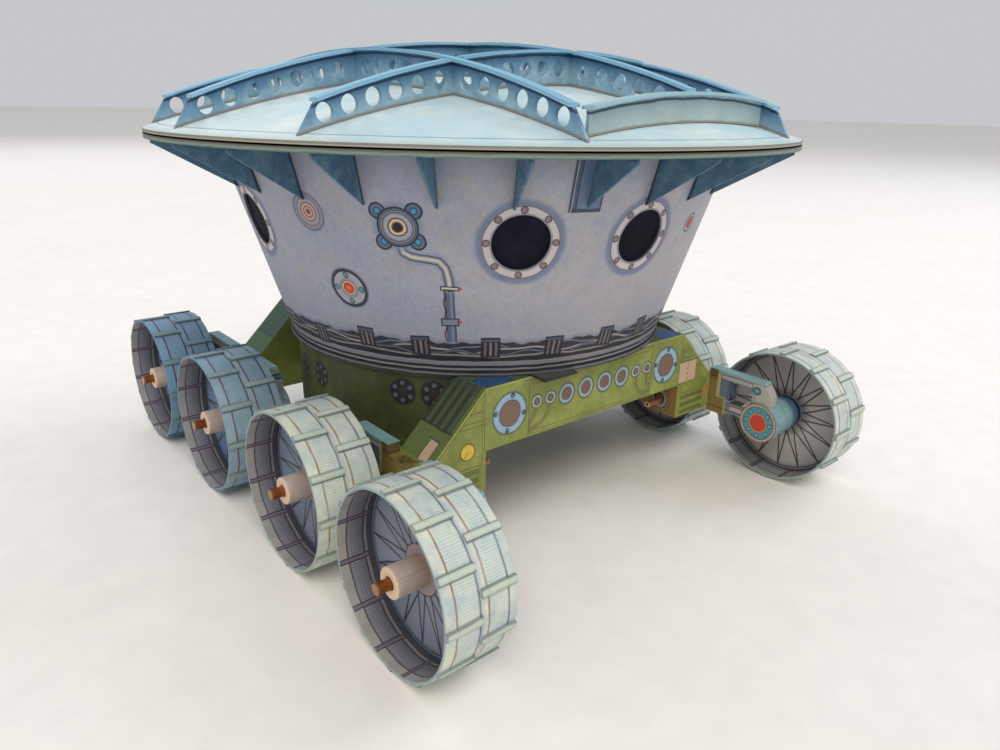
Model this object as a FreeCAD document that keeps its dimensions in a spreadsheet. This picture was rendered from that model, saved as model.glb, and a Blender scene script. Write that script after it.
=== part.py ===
import FreeCAD, Part
import math
import os
import re
import Sketcher
from FreeCAD import Placement, Rotation, Vector

# Card model of an eight-wheeled lunar rover. It is in millimetres with +Z up, on wheels at z = 0,
# and its front faces -Y. The origin is on the ground at the middle of the eight wheels, so the
# model's right side is -X. Tub, deck and lid share one upright axis, a little ahead of the wheels.

doc = FreeCAD.newDocument("LunarRoverModel")
sheet = doc.addObject("Spreadsheet::Sheet", "Sizes")

# name of the size, its value in millimetres, degrees or pieces or its formula, and what it measures
sizes = (
    ("axle_height", 15.1, "ground to wheel axle"),
    ("outer_axle_y", 54.0, "first and fourth axle from the middle"),
    ("inner_axle_y", 19.0, "second and third axle from the middle"),
    ("rim_plane", 57.2, "middle of the model to a wheel's outer edge"),
    ("tread_width", 12.4, "width of a wheel"),
    ("tread_radius", 14.7, "outside of the card band"),
    ("band_card", 0.5, "card of the band"),
    ("band_sides", 48, "flats outside the band"),
    ("band_inner_sides", 24, "flats inside the band"),
    ("lug_height", 0.4, "lug above the band"),
    ("lug_width", 1.2, "lug along the band"),
    ("lugs_per_row", 12, "lugs in each of the two rows"),
    ("disc_inset", 6.2, "outer edge of the wheel to the spoked disc"),
    ("disc_card", 0.5, "card of the disc"),
    ("disc_clearance", 0.05, "disc to the band"),
    ("hub_radius", 2.5, "outside of the paper hub tube"),
    ("hub_setback", 0.6, "hub tube's end behind the wheel's edge"),
    ("rod_radius", 0.95, "axle rod"),
    ("rod_overhang", 1.7, "rod's tip beyond the wheel's edge"),
    ("rod_clearance", 0.1, "turning clearance round the rod"),
    ("rod_socket", 3.5, "rod's seat in the motor housing"),
    ("glue_gap", 0.05, "clearance of glued card"),
    ("motor_radius", 4.4, "motor housing at its inner face"),
    ("motor_nose_radius", 3.8, "motor housing beside the disc"),
    ("motor_proud", 0.5, "motor housing inside the arm's inner face"),
    ("motor_gap", 0.3, "motor housing to the turning disc"),
    ("beam_offset", 35.4, "middle of a cross beam from the middle"),
    ("beam_depth", 9.4, "beam from front to back"),
    ("beam_top", 34.3, "height of the beam's top"),
    ("beam_bottom", 22.4, "height of the beam's underside"),
    ("beam_half_top", 27.6, "half length of the beam's top"),
    ("leg_outer", 39.3, "outer face of a leg"),
    ("leg_inner", 27.4, "inner face of a leg"),
    ("leg_knee", 22.8, "height where the slope meets the leg"),
    ("leg_foot", 14.6, "height of a leg's foot"),
    ("arm_card", 2.5, "thickness of an arm"),
    ("arm_top", 24.3, "height of an arm's top"),
    ("arm_low", 14.8, "height of an arm's lower edge"),
    ("arm_nose", 2.0, "arm's end beyond the axle"),
    ("arm_shoulder", 21.3, "height where the arm's end is cut off"),
    ("arm_lap", 22.3, "height of the lap glued to the leg"),
    ("bracket_length", 4.6, "bracket out from the beam's face"),
    ("bracket_low", 13.8, "height of the bracket's lower edge"),
    ("window_side", 1.3, "bracket's edge to the arm's window"),
    ("window_low", 17.3, "height of the window's sill"),
    ("window_top", 22.2, "height of the window's top"),
    ("window_rest", 2.6, "window's end before the axle"),
    ("window_slope", 2.3, "cut corner of the window over the motor"),
    ("tub_axis_y", -2.2, "axis of tub and lid from the middle"),
    ("base_card", 0.8, "card of the base plate"),
    ("drum_radius", 39.5, "drum under the base plate"),
    ("drum_bottom", 18.6, "height of the drum's underside"),
    ("deck_radius", 64.8, "deck and lid"),
    ("deck_overhang", 12.3, "deck's edge beyond the tub"),
    ("tub_top_radius", "deck_radius - deck_overhang", "outside of the tub at the deck"),
    ("tub_spread", 11.9, "tub's top wider than its base, in radius"),
    ("tub_base_radius", "tub_top_radius - tub_spread", "outside of the tub at the base plate"),
    ("base_rim", 0.4, "base plate's edge beyond the tub"),
    ("base_radius", "tub_base_radius + base_rim", "base plate under the tub"),
    ("tub_card", 0.6, "card of the tub"),
    ("deck_low", 73.6, "height of the deck's underside"),
    ("deck_card", 0.8, "card of the deck"),
    ("gusset_count", 26, "gussets round the tub"),
    ("gusset_card", 0.4, "card of a gusset"),
    ("gusset_low", 65.0, "height of a gusset's lower end"),
    ("gusset_tip", 0.7, "gusset's depth at its outer end"),
    ("gusset_rest", 0.8, "gusset's outer end behind the deck's edge"),
    ("gusset_turn", 238.3, "angle of one gusset round the tub"),
    ("port_opening", 4.9, "round port cut in the tub"),
    ("port_height", 59.5, "height of the ports"),
    ("pane_film", 0.25, "dark film behind a port"),
    ("pane_lap", 1.2, "film's edge beyond its port"),
    ("lid_gap", 0.3, "deck to the lid's lower edge"),
    ("lid_card", 0.5, "card of the lid"),
    ("lid_rise", 10.3, "lid's middle above its edge"),
    ("lid_edge", "deck_low + deck_card + lid_gap + lid_card", "height of the lid's upper edge"),
    ("dome_radius", "( deck_radius ^ 2 + lid_rise ^ 2 ) / ( 2 * lid_rise )", "outside of the domed lid"),
    ("dome_centre", "lid_edge + lid_rise - dome_radius", "height of the dome's centre"),
    ("rib_rise", 6.4, "rib above the lid's middle, with its cap strip"),
    ("rib_end_rise", 4.0, "rib above the lid at its foot"),
    ("rib_card", 0.6, "card of a rib's web"),
    ("strip_width", 2.4, "width of a rib's cap strip"),
    ("strip_card", 0.45, "card of a cap strip"),
    ("rib_end_inset", 1.6, "rib's foot inside the lid's edge"),
    ("rib_end_radius", "deck_radius - rib_end_inset", "rib's foot from the lid's axis"),
    ("rib_drop", "dome_radius - sqrt( dome_radius ^ 2 - rib_end_radius ^ 2 ) + rib_rise - rib_end_rise",
     "fall of a rib's top from the middle to its foot"),
    ("crown_radius", "( rib_end_radius ^ 2 + rib_drop ^ 2 ) / ( 2 * rib_drop )", "sphere over the ribs"),
    ("crown_centre", "lid_edge + lid_rise + rib_rise - crown_radius", "height of that sphere's centre"),
    ("rib_slope", 3.0, "rib's top end behind its foot"),
    ("rib_turn", 2.8, "ribs turned about the lid's axis"),
    ("hole_radius", 1.4, "lightening hole of a rib"),
    ("hole_pitch", 4.15, "lightening holes along a rib"),
    ("chord_inset", 10.2, "short front rib behind the lid's front edge"),
    ("chord_y", "chord_inset - deck_radius", "short front rib from the lid's axis"),
    ("hinge_back", 1.7, "hinge wire behind the lid's edge"),
    ("hinge_wire_radius", 0.4, "hinge wire"),
    ("hinge_clearance", 0.1, "loops round the hinge wire"),
    ("hinge_card", 0.6, "card of a hinge loop"),
    ("hinge_loop_width", 4.0, "width of a hinge loop"),
    ("hinge_deck_x", 15.0, "deck's loops from the middle"),
    ("hinge_lid_x", 10.6, "lid's loops from the middle"),
    ("hinge_wire_overlap", 1.0, "wire beyond the deck's loops"),
)
size = {}
for row, (name, value, note) in enumerate(sizes, start=1):
    sheet.set(f"A{row}", name)
    sheet.set(f"B{row}", f"={value}" if isinstance(value, str) else str(value))
    sheet.set(f"C{row}", note)
    sheet.setAlias(f"B{row}", name)
    doc.recompute()
    size[name] = float(sheet.get(name)) if isinstance(value, str) else value

# side of the model and its sign along X
sides = (("right", -1), ("left", 1))
# axle number from the front, its size in the sheet and its sign along Y
axles = ((1, "outer_axle_y", -1), (2, "inner_axle_y", -1), (3, "inner_axle_y", 1), (4, "outer_axle_y", 1))
# beam and its sign along Y
beams = (("front", -1), ("rear", 1))
pieces = []


def cell(name):
    """Give the expression that reads one size."""
    return f"<<Sizes>>.{name}"


def sized(text):
    """Turn a formula of size names into an expression of sheet cells."""
    return re.sub("[a-z][a-z_]*", lambda word: cell(word[0]) if word[0] in size else word[0], text)


def bind(item, **formulas):
    """Bind an object's properties to formulas of size names."""
    for prop, formula in formulas.items():
        item.setExpression(prop, sized(formula))


def primitive(kind, name, place=None, **formulas):
    """Make a Part primitive whose sizes are bound to the sheet."""
    item = doc.addObject(f"Part::{kind}", name)
    bind(item, **formulas)
    if place is not None:
        item.Placement = place
    return item


def boolean(kind, name, *items):
    """Join, cut or intersect objects."""
    item = doc.addObject(f"Part::{kind}", name)
    if kind == "Cut":
        item.Base, item.Tool = items
    elif kind == "Compound":
        item.Links = list(items)
    else:
        item.Shapes = list(items)
    return item


def keep(item, label):
    """List a finished sub-part under its own label."""
    item.Label = label
    pieces.append(item)
    return item


def new_body(label):
    """Start a PartDesign body."""
    body = doc.addObject("PartDesign::Body", label)
    return keep(body, label)


def lay_on(body, item, role):
    """Attach a sketch or a primitive to one of the body's own origin planes."""
    plane = next(plane for plane in body.Origin.OriginFeatures if plane.Role == role)
    item.AttachmentSupport = [(plane, "")]
    item.MapMode = "FlatFace"
    return item


def sketch_on(body, role, name):
    """Start a sketch on one of the body's own origin planes."""
    return lay_on(body, body.newObject("Sketcher::SketchObject", name), role)


def pin_point(sketch, geometry, end, across=None, up=None):
    """Place one point of a sketch by formulas from its origin."""
    for kind, formula in (("DistanceX", across), ("DistanceY", up)):
        if formula is None:
            continue
        start = sketch.getPoint(geometry, end)
        value = start.x if kind == "DistanceX" else start.y
        number = sketch.addConstraint(Sketcher.Constraint(kind, -1, 1, geometry, end, value))
        sketch.setExpression(f"Constraints[{number}]", sized(formula))


def amount(formula):
    """Work out a formula of size names, to start a sketch near its solution."""
    return float(sheet.evalExpression(sized(formula)))


def polygon(sketch, corners):
    """Draw a closed outline whose corners are pairs of formulas."""
    points = [Vector(amount(across), amount(up), 0) for across, up in corners]
    first = None
    for start, end in zip(points, points[1:] + points[:1]):
        number = sketch.addGeometry(Part.LineSegment(start, end), False)
        first = number if first is None else first
    count = len(points)
    for step in range(count):
        line = first + step
        following = first + (step + 1) % count
        sketch.addConstraint(Sketcher.Constraint("Coincident", line, 2, following, 1))
    for step, (across, up) in enumerate(corners):
        pin_point(sketch, first + step, 1, across, up)


def circle(sketch, radius, across="0", up="0"):
    """Draw a circle with its radius and centre bound to formulas."""
    centre = Vector(amount(across), amount(up), 0)
    number = sketch.addGeometry(Part.Circle(centre, Vector(0, 0, 1), amount(radius)), False)
    limit = sketch.addConstraint(Sketcher.Constraint("Radius", number, amount(radius)))
    sketch.setExpression(f"Constraints[{limit}]", sized(radius))
    pin_point(sketch, number, 3, across, up)
    return number


def pad(body, sketch, name, length, both_ways=False, back=False):
    """Pad a sketch by a formula's length."""
    feature = body.newObject("PartDesign::Pad", name)
    feature.Profile = sketch
    bind(feature, Length=length)
    if both_ways:
        feature.SideType = "Symmetric"
    feature.Reversed = back
    return feature


def pocket(body, sketch, name, length):
    """Pocket a sketch to both sides by a formula's length."""
    feature = body.newObject("PartDesign::Pocket", name)
    feature.Profile = sketch
    bind(feature, Length=length)
    feature.SideType = "Symmetric"
    return feature


def origin_axis(body, role):
    """Give one of the body's own origin axes."""
    return (next(item for item in body.Origin.OriginFeatures if item.Role == role), [""])


def facing(side_sign, turn=0.0):
    """Turn a piece made along +Z so that it points out to one side, and turn it about its axis."""
    outward = Rotation(Vector(0, 1, 0), 90 * side_sign)
    return outward.multiply(Rotation(Vector(0, 0, 1), turn))


def wheel_place(side_sign, axle_name, axle_sign, out, turn=0.0):
    """Put a piece made along +Z on a wheel's axle, at a distance out from the middle."""
    spot = Vector(side_sign * out, axle_sign * size[axle_name], size["axle_height"])
    return Placement(spot, facing(side_sign, turn))


def add_tread(label, place):
    """Card band with two staggered rows of lugs. Its z runs from the inner to the outer edge."""
    body = new_body(label)
    flat_turn = Placement(Vector(), Rotation(Vector(0, 0, 1), 180 / size["band_sides"]))
    band = lay_on(body, body.newObject("PartDesign::AdditivePrism", "Band"), "XY_Plane")
    bind(band, Polygon="band_sides", Height="tread_width")
    bind(band, Circumradius="tread_radius / cos(180 / band_sides)")
    band.AttachmentOffset = flat_turn
    hollow = lay_on(body, body.newObject("PartDesign::SubtractivePrism", "Hollow"), "XY_Plane")
    bind(hollow, Polygon="band_inner_sides", Height="tread_width")
    bind(hollow, Circumradius="(tread_radius - band_card) / cos(180 / band_inner_sides)")
    half_pitch = 180 / size["lugs_per_row"]
    for row_name, low, turn in (("Inner", 0.0, half_pitch), ("Outer", size["tread_width"] / 2, 0.0)):
        lug = lay_on(body, body.newObject("PartDesign::AdditiveBox", f"{row_name}Lug"), "XY_Plane")
        bind(lug, Length="lug_height + band_card / 2", Width="lug_width", Height="tread_width / 2")
        about_axis = Rotation(Vector(0, 0, 1), turn)
        corner = Vector(size["tread_radius"] - size["band_card"] / 2, -size["lug_width"] / 2, low)
        lug.AttachmentOffset = Placement(about_axis.multVec(corner), about_axis)
        ring = body.newObject("PartDesign::PolarPattern", f"{row_name}Lugs")
        ring.Originals = [lug]
        ring.Axis = origin_axis(body, "Z_Axis")
        ring.Angle = 360
        bind(ring, Occurrences="lugs_per_row")
        body.Tip = ring
    body.Placement = place


def add_ring(label, place, outside, inside, length, upward=True):
    """Round plate or tube with a round hole, from z = 0."""
    body = new_body(label)
    sketch = sketch_on(body, "XY_Plane", "Ring")
    circle(sketch, outside)
    if inside:
        circle(sketch, inside)
    pad(body, sketch, "Card", length, back=not upward)
    body.Placement = place
    return body


def add_wheels():
    """Eight wheels, each a tread, a spoked disc and a paper hub tube."""
    bore = "rod_radius + rod_clearance"
    disc_out = size["rim_plane"] - size["disc_inset"]
    inner_edge = size["rim_plane"] - size["tread_width"]
    for side, side_sign in sides:
        turn = 180 / size["lugs_per_row"] if side_sign > 0 else 0.0
        for number, axle_name, axle_sign in axles:
            name = f"{side}_{number}"
            on_disc = wheel_place(side_sign, axle_name, axle_sign, disc_out)
            add_tread(f"tread_{name}", wheel_place(side_sign, axle_name, axle_sign, inner_edge, turn))
            add_ring(f"spoke_disc_{name}", on_disc, "tread_radius - band_card - disc_clearance", bore,
                     "disc_card", upward=False)
            add_ring(f"hub_tube_{name}", on_disc, "hub_radius", bore, "disc_inset - hub_setback")


def add_running_gear():
    """Motor housings and axle rods of both sides, four of each to a side."""
    motor_face = size["leg_outer"] - size["motor_proud"]
    nose = "rim_plane - disc_inset - disc_card - motor_gap"
    rod_foot = amount(nose) - size["rod_socket"]
    for side, side_sign in sides:
        housings = []
        rods = []
        for number, axle_name, axle_sign in axles:
            name = f"{side}_{number}"
            at_face = wheel_place(side_sign, axle_name, axle_sign, motor_face)
            at_foot = wheel_place(side_sign, axle_name, axle_sign, rod_foot)
            cone = primitive("Cone", f"MotorCone_{name}", at_face, Radius1="motor_radius",
                             Radius2="motor_nose_radius", Height=f"{nose} - leg_outer + motor_proud")
            socket = primitive("Cylinder", f"MotorSocket_{name}", at_foot,
                               Radius="rod_radius + glue_gap", Height="rod_socket + motor_gap")
            housings.append(boolean("Cut", f"Motor_{name}", cone, socket))
            rods.append(primitive("Cylinder", f"Rod_{name}", at_foot, Radius="rod_radius",
                                  Height=f"rim_plane + rod_overhang - ( {nose} ) + rod_socket"))
        keep(boolean("Compound", f"Motors_{side}", *housings), f"motor_housings_{side}")
        keep(boolean("Compound", f"Rods_{side}", *rods), f"axle_rods_{side}")


def add_beam(name, sign):
    """Cross beam: a box with sloping ends that turns down into a leg at each end."""
    body = new_body(f"beam_{name}")
    sketch = sketch_on(body, "XZ_Plane", "Portal")
    half = [("beam_half_top", "beam_top"), ("leg_outer", "leg_knee"), ("leg_outer", "leg_foot"),
            ("leg_inner", "leg_foot"), ("leg_inner", "beam_bottom")]
    other_half = [(f"-1 * {across}", up) for across, up in reversed(half)]
    polygon(sketch, half + other_half)
    pad(body, sketch, "Box", "beam_depth", both_ways=True)
    body.Placement = Placement(Vector(0, sign * size["beam_offset"], 0), Rotation())


def add_arm(label, side_sign, axle_name, beam_sign):
    """Side arm from a beam's leg to a wheel's motor housing. Its sketch runs away from the beam."""
    body = new_body(label)
    outer = axle_name == "outer_axle_y"
    away = "outer_axle_y - beam_offset" if outer else "beam_offset - inner_axle_y"
    seat = "motor_radius + glue_gap"
    face = "beam_depth / 2"
    heel = f"{away} - sqrt(( {seat} ) ^ 2 - ( axle_height - arm_low ) ^ 2 )"
    toe_height = f"axle_height + sqrt(( {seat} ) ^ 2 - arm_nose ^ 2 )"
    sketch = sketch_on(body, "XZ_Plane", "Outline")
    corners = [(heel, "arm_low"), (f"{face} + bracket_length", "arm_low"),
               (f"{face} + bracket_length", "bracket_low"), (f"{face} + glue_gap", "bracket_low"),
               (f"{face} + glue_gap", "arm_low"), ("glue_gap", "arm_low"), ("glue_gap", "arm_lap"),
               (f"{face} + glue_gap", "arm_lap"), (f"{face} + glue_gap", "arm_top"),
               (f"{away} + glue_gap", "arm_top"), (f"{away} + arm_nose", "arm_shoulder"),
               (f"{away} + arm_nose", toe_height)]
    points = [Vector(amount(across), amount(up), 0) for across, up in corners]
    lines = [sketch.addGeometry(Part.LineSegment(start, end), False)
             for start, end in zip(points, points[1:])]
    for line, following in zip(lines, lines[1:]):
        sketch.addConstraint(Sketcher.Constraint("Coincident", line, 2, following, 1))
    for line, (across, up) in zip(lines[1:], corners[1:]):
        pin_point(sketch, line, 1, across, up)
    centre = Vector(amount(away), size["axle_height"], 0)
    toe = points[-1] - centre
    foot = points[0] - centre
    circle_seat = Part.Circle(centre, Vector(0, 0, 1), amount(seat))
    arc = sketch.addGeometry(Part.ArcOfCircle(circle_seat, math.atan2(toe.y, toe.x),
                                              math.atan2(foot.y, foot.x) + 2 * math.pi), False)
    sketch.addConstraint(Sketcher.Constraint("Coincident", lines[-1], 2, arc, 1))
    sketch.addConstraint(Sketcher.Constraint("Coincident", arc, 2, lines[0], 1))
    pin_point(sketch, arc, 3, away, "axle_height")
    limit = sketch.addConstraint(Sketcher.Constraint("Radius", arc, amount(seat)))
    sketch.setExpression(f"Constraints[{limit}]", sized(seat))
    pin_point(sketch, arc, 1, across=f"{away} + arm_nose")
    pin_point(sketch, arc, 2, up="arm_low")
    near = f"{face} + bracket_length + window_side"
    far = f"{away} - window_rest"
    polygon(sketch, [(near, "window_low"), (f"{far} - window_slope", "window_low"),
                     (far, "window_low + window_slope"), (far, "window_top"), (near, "window_top")])
    pad(body, sketch, "Card", "arm_card", both_ways=True)
    middle = side_sign * (size["leg_outer"] + size["arm_card"] / 2)
    outward = 1 if outer == (beam_sign > 0) else -1
    body.Placement = Placement(Vector(middle, beam_sign * size["beam_offset"], 0),
                               Rotation(Vector(0, 0, 1), 90 * outward))


def add_chassis():
    """Two cross beams, eight arms, the base plate and the drum between the beams."""
    for name, sign in beams:
        add_beam(name, sign)
    for side, side_sign in sides:
        for number, axle_name, axle_sign in axles:
            add_arm(f"arm_{side}_{number}", side_sign, axle_name, axle_sign)
    on_axis = Placement(Vector(0, size["tub_axis_y"], size["beam_top"]), Rotation())
    add_ring("base_plate", on_axis, "base_radius", "", "base_card")
    at_bottom = Placement(Vector(0, size["tub_axis_y"], size["drum_bottom"]), Rotation())
    can = primitive("Cylinder", "DrumCan", at_bottom, Radius="drum_radius", Height="beam_top - drum_bottom")
    inner_face = size["beam_offset"] - size["beam_depth"] / 2
    corner = Vector(-2 * size["drum_radius"], -inner_face, size["drum_bottom"])
    between = primitive("Box", "BetweenBeams", Placement(corner, Rotation()), Length="4 * drum_radius",
                        Width="2 * beam_offset - beam_depth", Height="beam_top - drum_bottom")
    keep(boolean("MultiCommon", "DrumBody", can, between), "drum")


# round ports: name, angle round the tub
ports = (("front_right", 240.2), ("front_left", 267.5), ("right", 173.5), ("left", 6.5))


def tub_slope():
    """Give the tub wall's lean from upright, in degrees."""
    spread = size["tub_top_radius"] - size["tub_base_radius"]
    rise = size["deck_low"] - size["beam_top"] - size["base_card"]
    return math.degrees(math.atan2(spread, rise))


def tub_radius(height):
    """Give the tub's outside radius at a height."""
    above = height - size["beam_top"] - size["base_card"]
    return size["tub_base_radius"] + above * math.tan(math.radians(tub_slope()))


def on_wall(angle, height, inward):
    """Stand a piece made along +Z square on the tub's wall, starting a distance inside it."""
    lean = Rotation(Vector(0, 0, 1), angle).multiply(Rotation(Vector(0, 1, 0), 90 + tub_slope()))
    spot = Rotation(Vector(0, 0, 1), angle).multVec(Vector(tub_radius(height), 0, height))
    spot.y += size["tub_axis_y"]
    return Placement(spot - lean.multVec(Vector(0, 0, inward)), lean)


def wall_cone(name, offset):
    """Cone at a distance outside the tub's wall, from the base plate to the deck."""
    place = Placement(Vector(0, size["tub_axis_y"], size["beam_top"] + size["base_card"]), Rotation())
    return primitive("Cone", name, place, Radius1=f"tub_base_radius + {offset}",
                     Radius2=f"tub_top_radius + {offset}", Height="deck_low - beam_top - base_card")


def port_rods(name, radius):
    """Join rods through the tub's wall at its ports."""
    rods = [primitive("Cylinder", f"{name}_{port}", on_wall(angle, size["port_height"], 4 * size["tub_card"]),
                      Radius=radius, Height="8 * tub_card") for port, angle in ports]
    return boolean("MultiFuse", f"{name}s", *rods)


def add_tub():
    """Cone-shaped tub with its round ports cut, and the dark films behind them."""
    wall = boolean("Cut", "TubWall", wall_cone("TubOutside", "0"), wall_cone("TubInside", "-1 * tub_card"))
    keep(boolean("Cut", "Tub", wall, port_rods("PortHole", "port_opening")), "tub_shell")
    skin = boolean("Cut", "FilmSkin", wall_cone("FilmOutside", "-1 * ( tub_card + glue_gap )"),
                   wall_cone("FilmInside", "-1 * ( tub_card + glue_gap + pane_film )"))
    films = boolean("MultiCommon", "Films", port_rods("FilmRod", "port_opening + pane_lap"), skin)
    keep(films, "port_panes")


def add_gussets():
    """Thin triangular plates between the tub's wall and the deck's rim."""
    body = new_body("deck_gussets")
    body.AllowCompound = True
    sketch = sketch_on(body, "XZ_Plane", "Gusset")
    slope = "( tub_top_radius - tub_base_radius ) / ( deck_low - beam_top - base_card )"
    foot = f"tub_top_radius + glue_gap - ( deck_low - gusset_low ) * {slope}"
    polygon(sketch, [(foot, "gusset_low"), ("deck_radius - gusset_rest", "deck_low - gusset_tip"),
                     ("deck_radius - gusset_rest", "deck_low"), ("tub_top_radius + glue_gap", "deck_low")])
    blade = pad(body, sketch, "Blade", "gusset_card", both_ways=True)
    ring = body.newObject("PartDesign::PolarPattern", "Ring")
    ring.Originals = [blade]
    ring.Axis = origin_axis(body, "Z_Axis")
    ring.Angle = 360
    bind(ring, Occurrences="gusset_count")
    body.Tip = ring
    body.Placement = Placement(Vector(0, size["tub_axis_y"], 0),
                               Rotation(Vector(0, 0, 1), size["gusset_turn"]))


def loop_ear(name, middle, low, card):
    """Ear with a loop round the hinge wire, on the rear edge of the deck or the lid."""
    wire_y = size["tub_axis_y"] + size["deck_radius"] + size["hinge_back"]
    width = size["hinge_loop_width"]
    across = Rotation(Vector(0, 1, 0), 90)
    at_wire = Placement(Vector(middle - width / 2, wire_y, hinge_height()), across)
    outside = primitive("Cylinder", f"{name}Outside", at_wire,
                        Radius="hinge_wire_radius + hinge_clearance + hinge_card", Height="hinge_loop_width")
    corner = Vector(middle - width / 2, wire_y - 3 * size["hinge_back"], low)
    strip = primitive("Box", f"{name}Strip", Placement(corner, Rotation()), Length="hinge_loop_width",
                      Width="3 * hinge_back", Height=card)
    wire_hole = primitive("Cylinder", f"{name}Hole", at_wire, Radius="hinge_wire_radius + hinge_clearance",
                          Height="hinge_loop_width")
    return boolean("Cut", f"{name}Ear", boolean("MultiFuse", f"{name}Solid", outside, strip), wire_hole)


def hinge_height():
    """Give the height of the hinge wire: the middle of the gap between deck and lid."""
    return size["deck_low"] + size["deck_card"] + size["lid_gap"] / 2


def add_deck():
    """Round deck over the tub, with two loops at its rear edge and the hinge wire in them."""
    place = Placement(Vector(0, size["tub_axis_y"], size["deck_low"]), Rotation())
    plate = primitive("Cylinder", "DeckDisc", place, Radius="deck_radius", Height="deck_card")
    ears = [loop_ear(f"Deck{hand}", sign * size["hinge_deck_x"], size["deck_low"], "deck_card")
            for hand, sign in sides]
    keep(boolean("MultiFuse", "Deck", plate, *ears), "deck_plate")
    wire_reach = size["hinge_deck_x"] + size["hinge_loop_width"] / 2 + size["hinge_wire_overlap"]
    wire_y = size["tub_axis_y"] + size["deck_radius"] + size["hinge_back"]
    wire_end = Placement(Vector(-wire_reach, wire_y, hinge_height()), Rotation(Vector(0, 1, 0), 90))
    length = "2 * hinge_deck_x + hinge_loop_width + 2 * hinge_wire_overlap"
    wire = primitive("Cylinder", "HingeWire", wire_end, Radius="hinge_wire_radius", Height=length)
    keep(wire, "hinge_wire")


def add_lid():
    """Domed lid of one thickness of card, with two loops at its rear edge."""
    centre = Placement(Vector(0, size["tub_axis_y"], size["dome_centre"]), Rotation())
    outside = primitive("Sphere", "DomeOutside", centre, Radius="dome_radius")
    inside = primitive("Sphere", "DomeInside", centre, Radius="dome_radius - lid_card")
    lid_low = size["lid_edge"] - size["lid_card"]
    low = Placement(Vector(0, size["tub_axis_y"], lid_low), Rotation())
    column = primitive("Cylinder", "LidColumn", low, Radius="deck_radius", Height="2 * lid_rise")
    dome = boolean("MultiCommon", "Dome", boolean("Cut", "DomeWall", outside, inside), column)
    ears = [loop_ear(f"Lid{hand}", sign * size["hinge_lid_x"], lid_low, "lid_card")
            for hand, sign in sides]
    keep(boolean("MultiFuse", "Lid", dome, *ears), "lid_plate")


# ribs along X: name, distance ahead (-) or behind the lid's axis
cross_ribs = (("front", -27.2), ("middle", 0.7), ("rear", 24.6))
# ribs along Y: name, distance from the lid's axis, true where it reaches the lid's front edge
long_ribs = (("right", -29.0, True), ("middle", -1.6, False), ("left", 19.1, True))


def rib_sketch(body, offset, name, inner, outer, start, end, slopes=(0.0, 0.0)):
    """Draw a band between two spheres over the lid, with straight ends that may slope inwards."""
    sketch = sketch_on(body, "XZ_Plane", name)
    corners = []
    arcs = []
    for (middle, sphere), first, last in ((inner, start, end), (outer, start + slopes[0], end - slopes[1])):
        formula = f"sqrt(( {sphere} ) ^ 2 - {offset} ^ 2 )"
        centre = Vector(0, amount(middle), 0)
        radius = amount(formula)
        whole = Part.Circle(centre, Vector(0, 0, 1), radius)
        arc = sketch.addGeometry(Part.ArcOfCircle(whole, math.acos(last / radius),
                                                  math.acos(first / radius)), False)
        pin_point(sketch, arc, 3, "0", middle)
        limit = sketch.addConstraint(Sketcher.Constraint("Radius", arc, radius))
        sketch.setExpression(f"Constraints[{limit}]", sized(formula))
        pin_point(sketch, arc, 1, across=str(last))
        pin_point(sketch, arc, 2, across=str(first))
        corners.append([Vector(across, centre.y + math.sqrt(radius ** 2 - across ** 2), 0)
                        for across in (first, last)])
        arcs.append(arc)
    for step in (0, 1):
        line = sketch.addGeometry(Part.LineSegment(corners[0][step], corners[1][step]), False)
        for arc, line_end in zip(arcs, (1, 2)):
            sketch.addConstraint(Sketcher.Constraint("Coincident", arc, 2 - step, line, line_end))
    return sketch


def reach(offset):
    """Give half the foot's length of a rib that runs from edge to edge of the lid."""
    return math.sqrt(size["rib_end_radius"] ** 2 - offset ** 2)


def crown_height(offset, across):
    """Give the height of a rib's top."""
    return size["crown_centre"] + math.sqrt(size["crown_radius"] ** 2 - offset ** 2 - across ** 2)


def web_middle(offset, across):
    """Give the height halfway between the lid and a rib's top."""
    lid = size["dome_centre"] + math.sqrt(size["dome_radius"] ** 2 - offset ** 2 - across ** 2)
    return (lid + crown_height(offset, across)) / 2


def slot(sketch, across, card, low, high):
    """Draw an upright slot that lets another rib's card through."""
    half = f"( {card} / 2 + glue_gap )"
    polygon(sketch, [(f"{across} - {half}", f"{low}"), (f"{across} + {half}", f"{low}"),
                     (f"{across} + {half}", f"{high}"), (f"{across} - {half}", f"{high}")])


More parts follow.
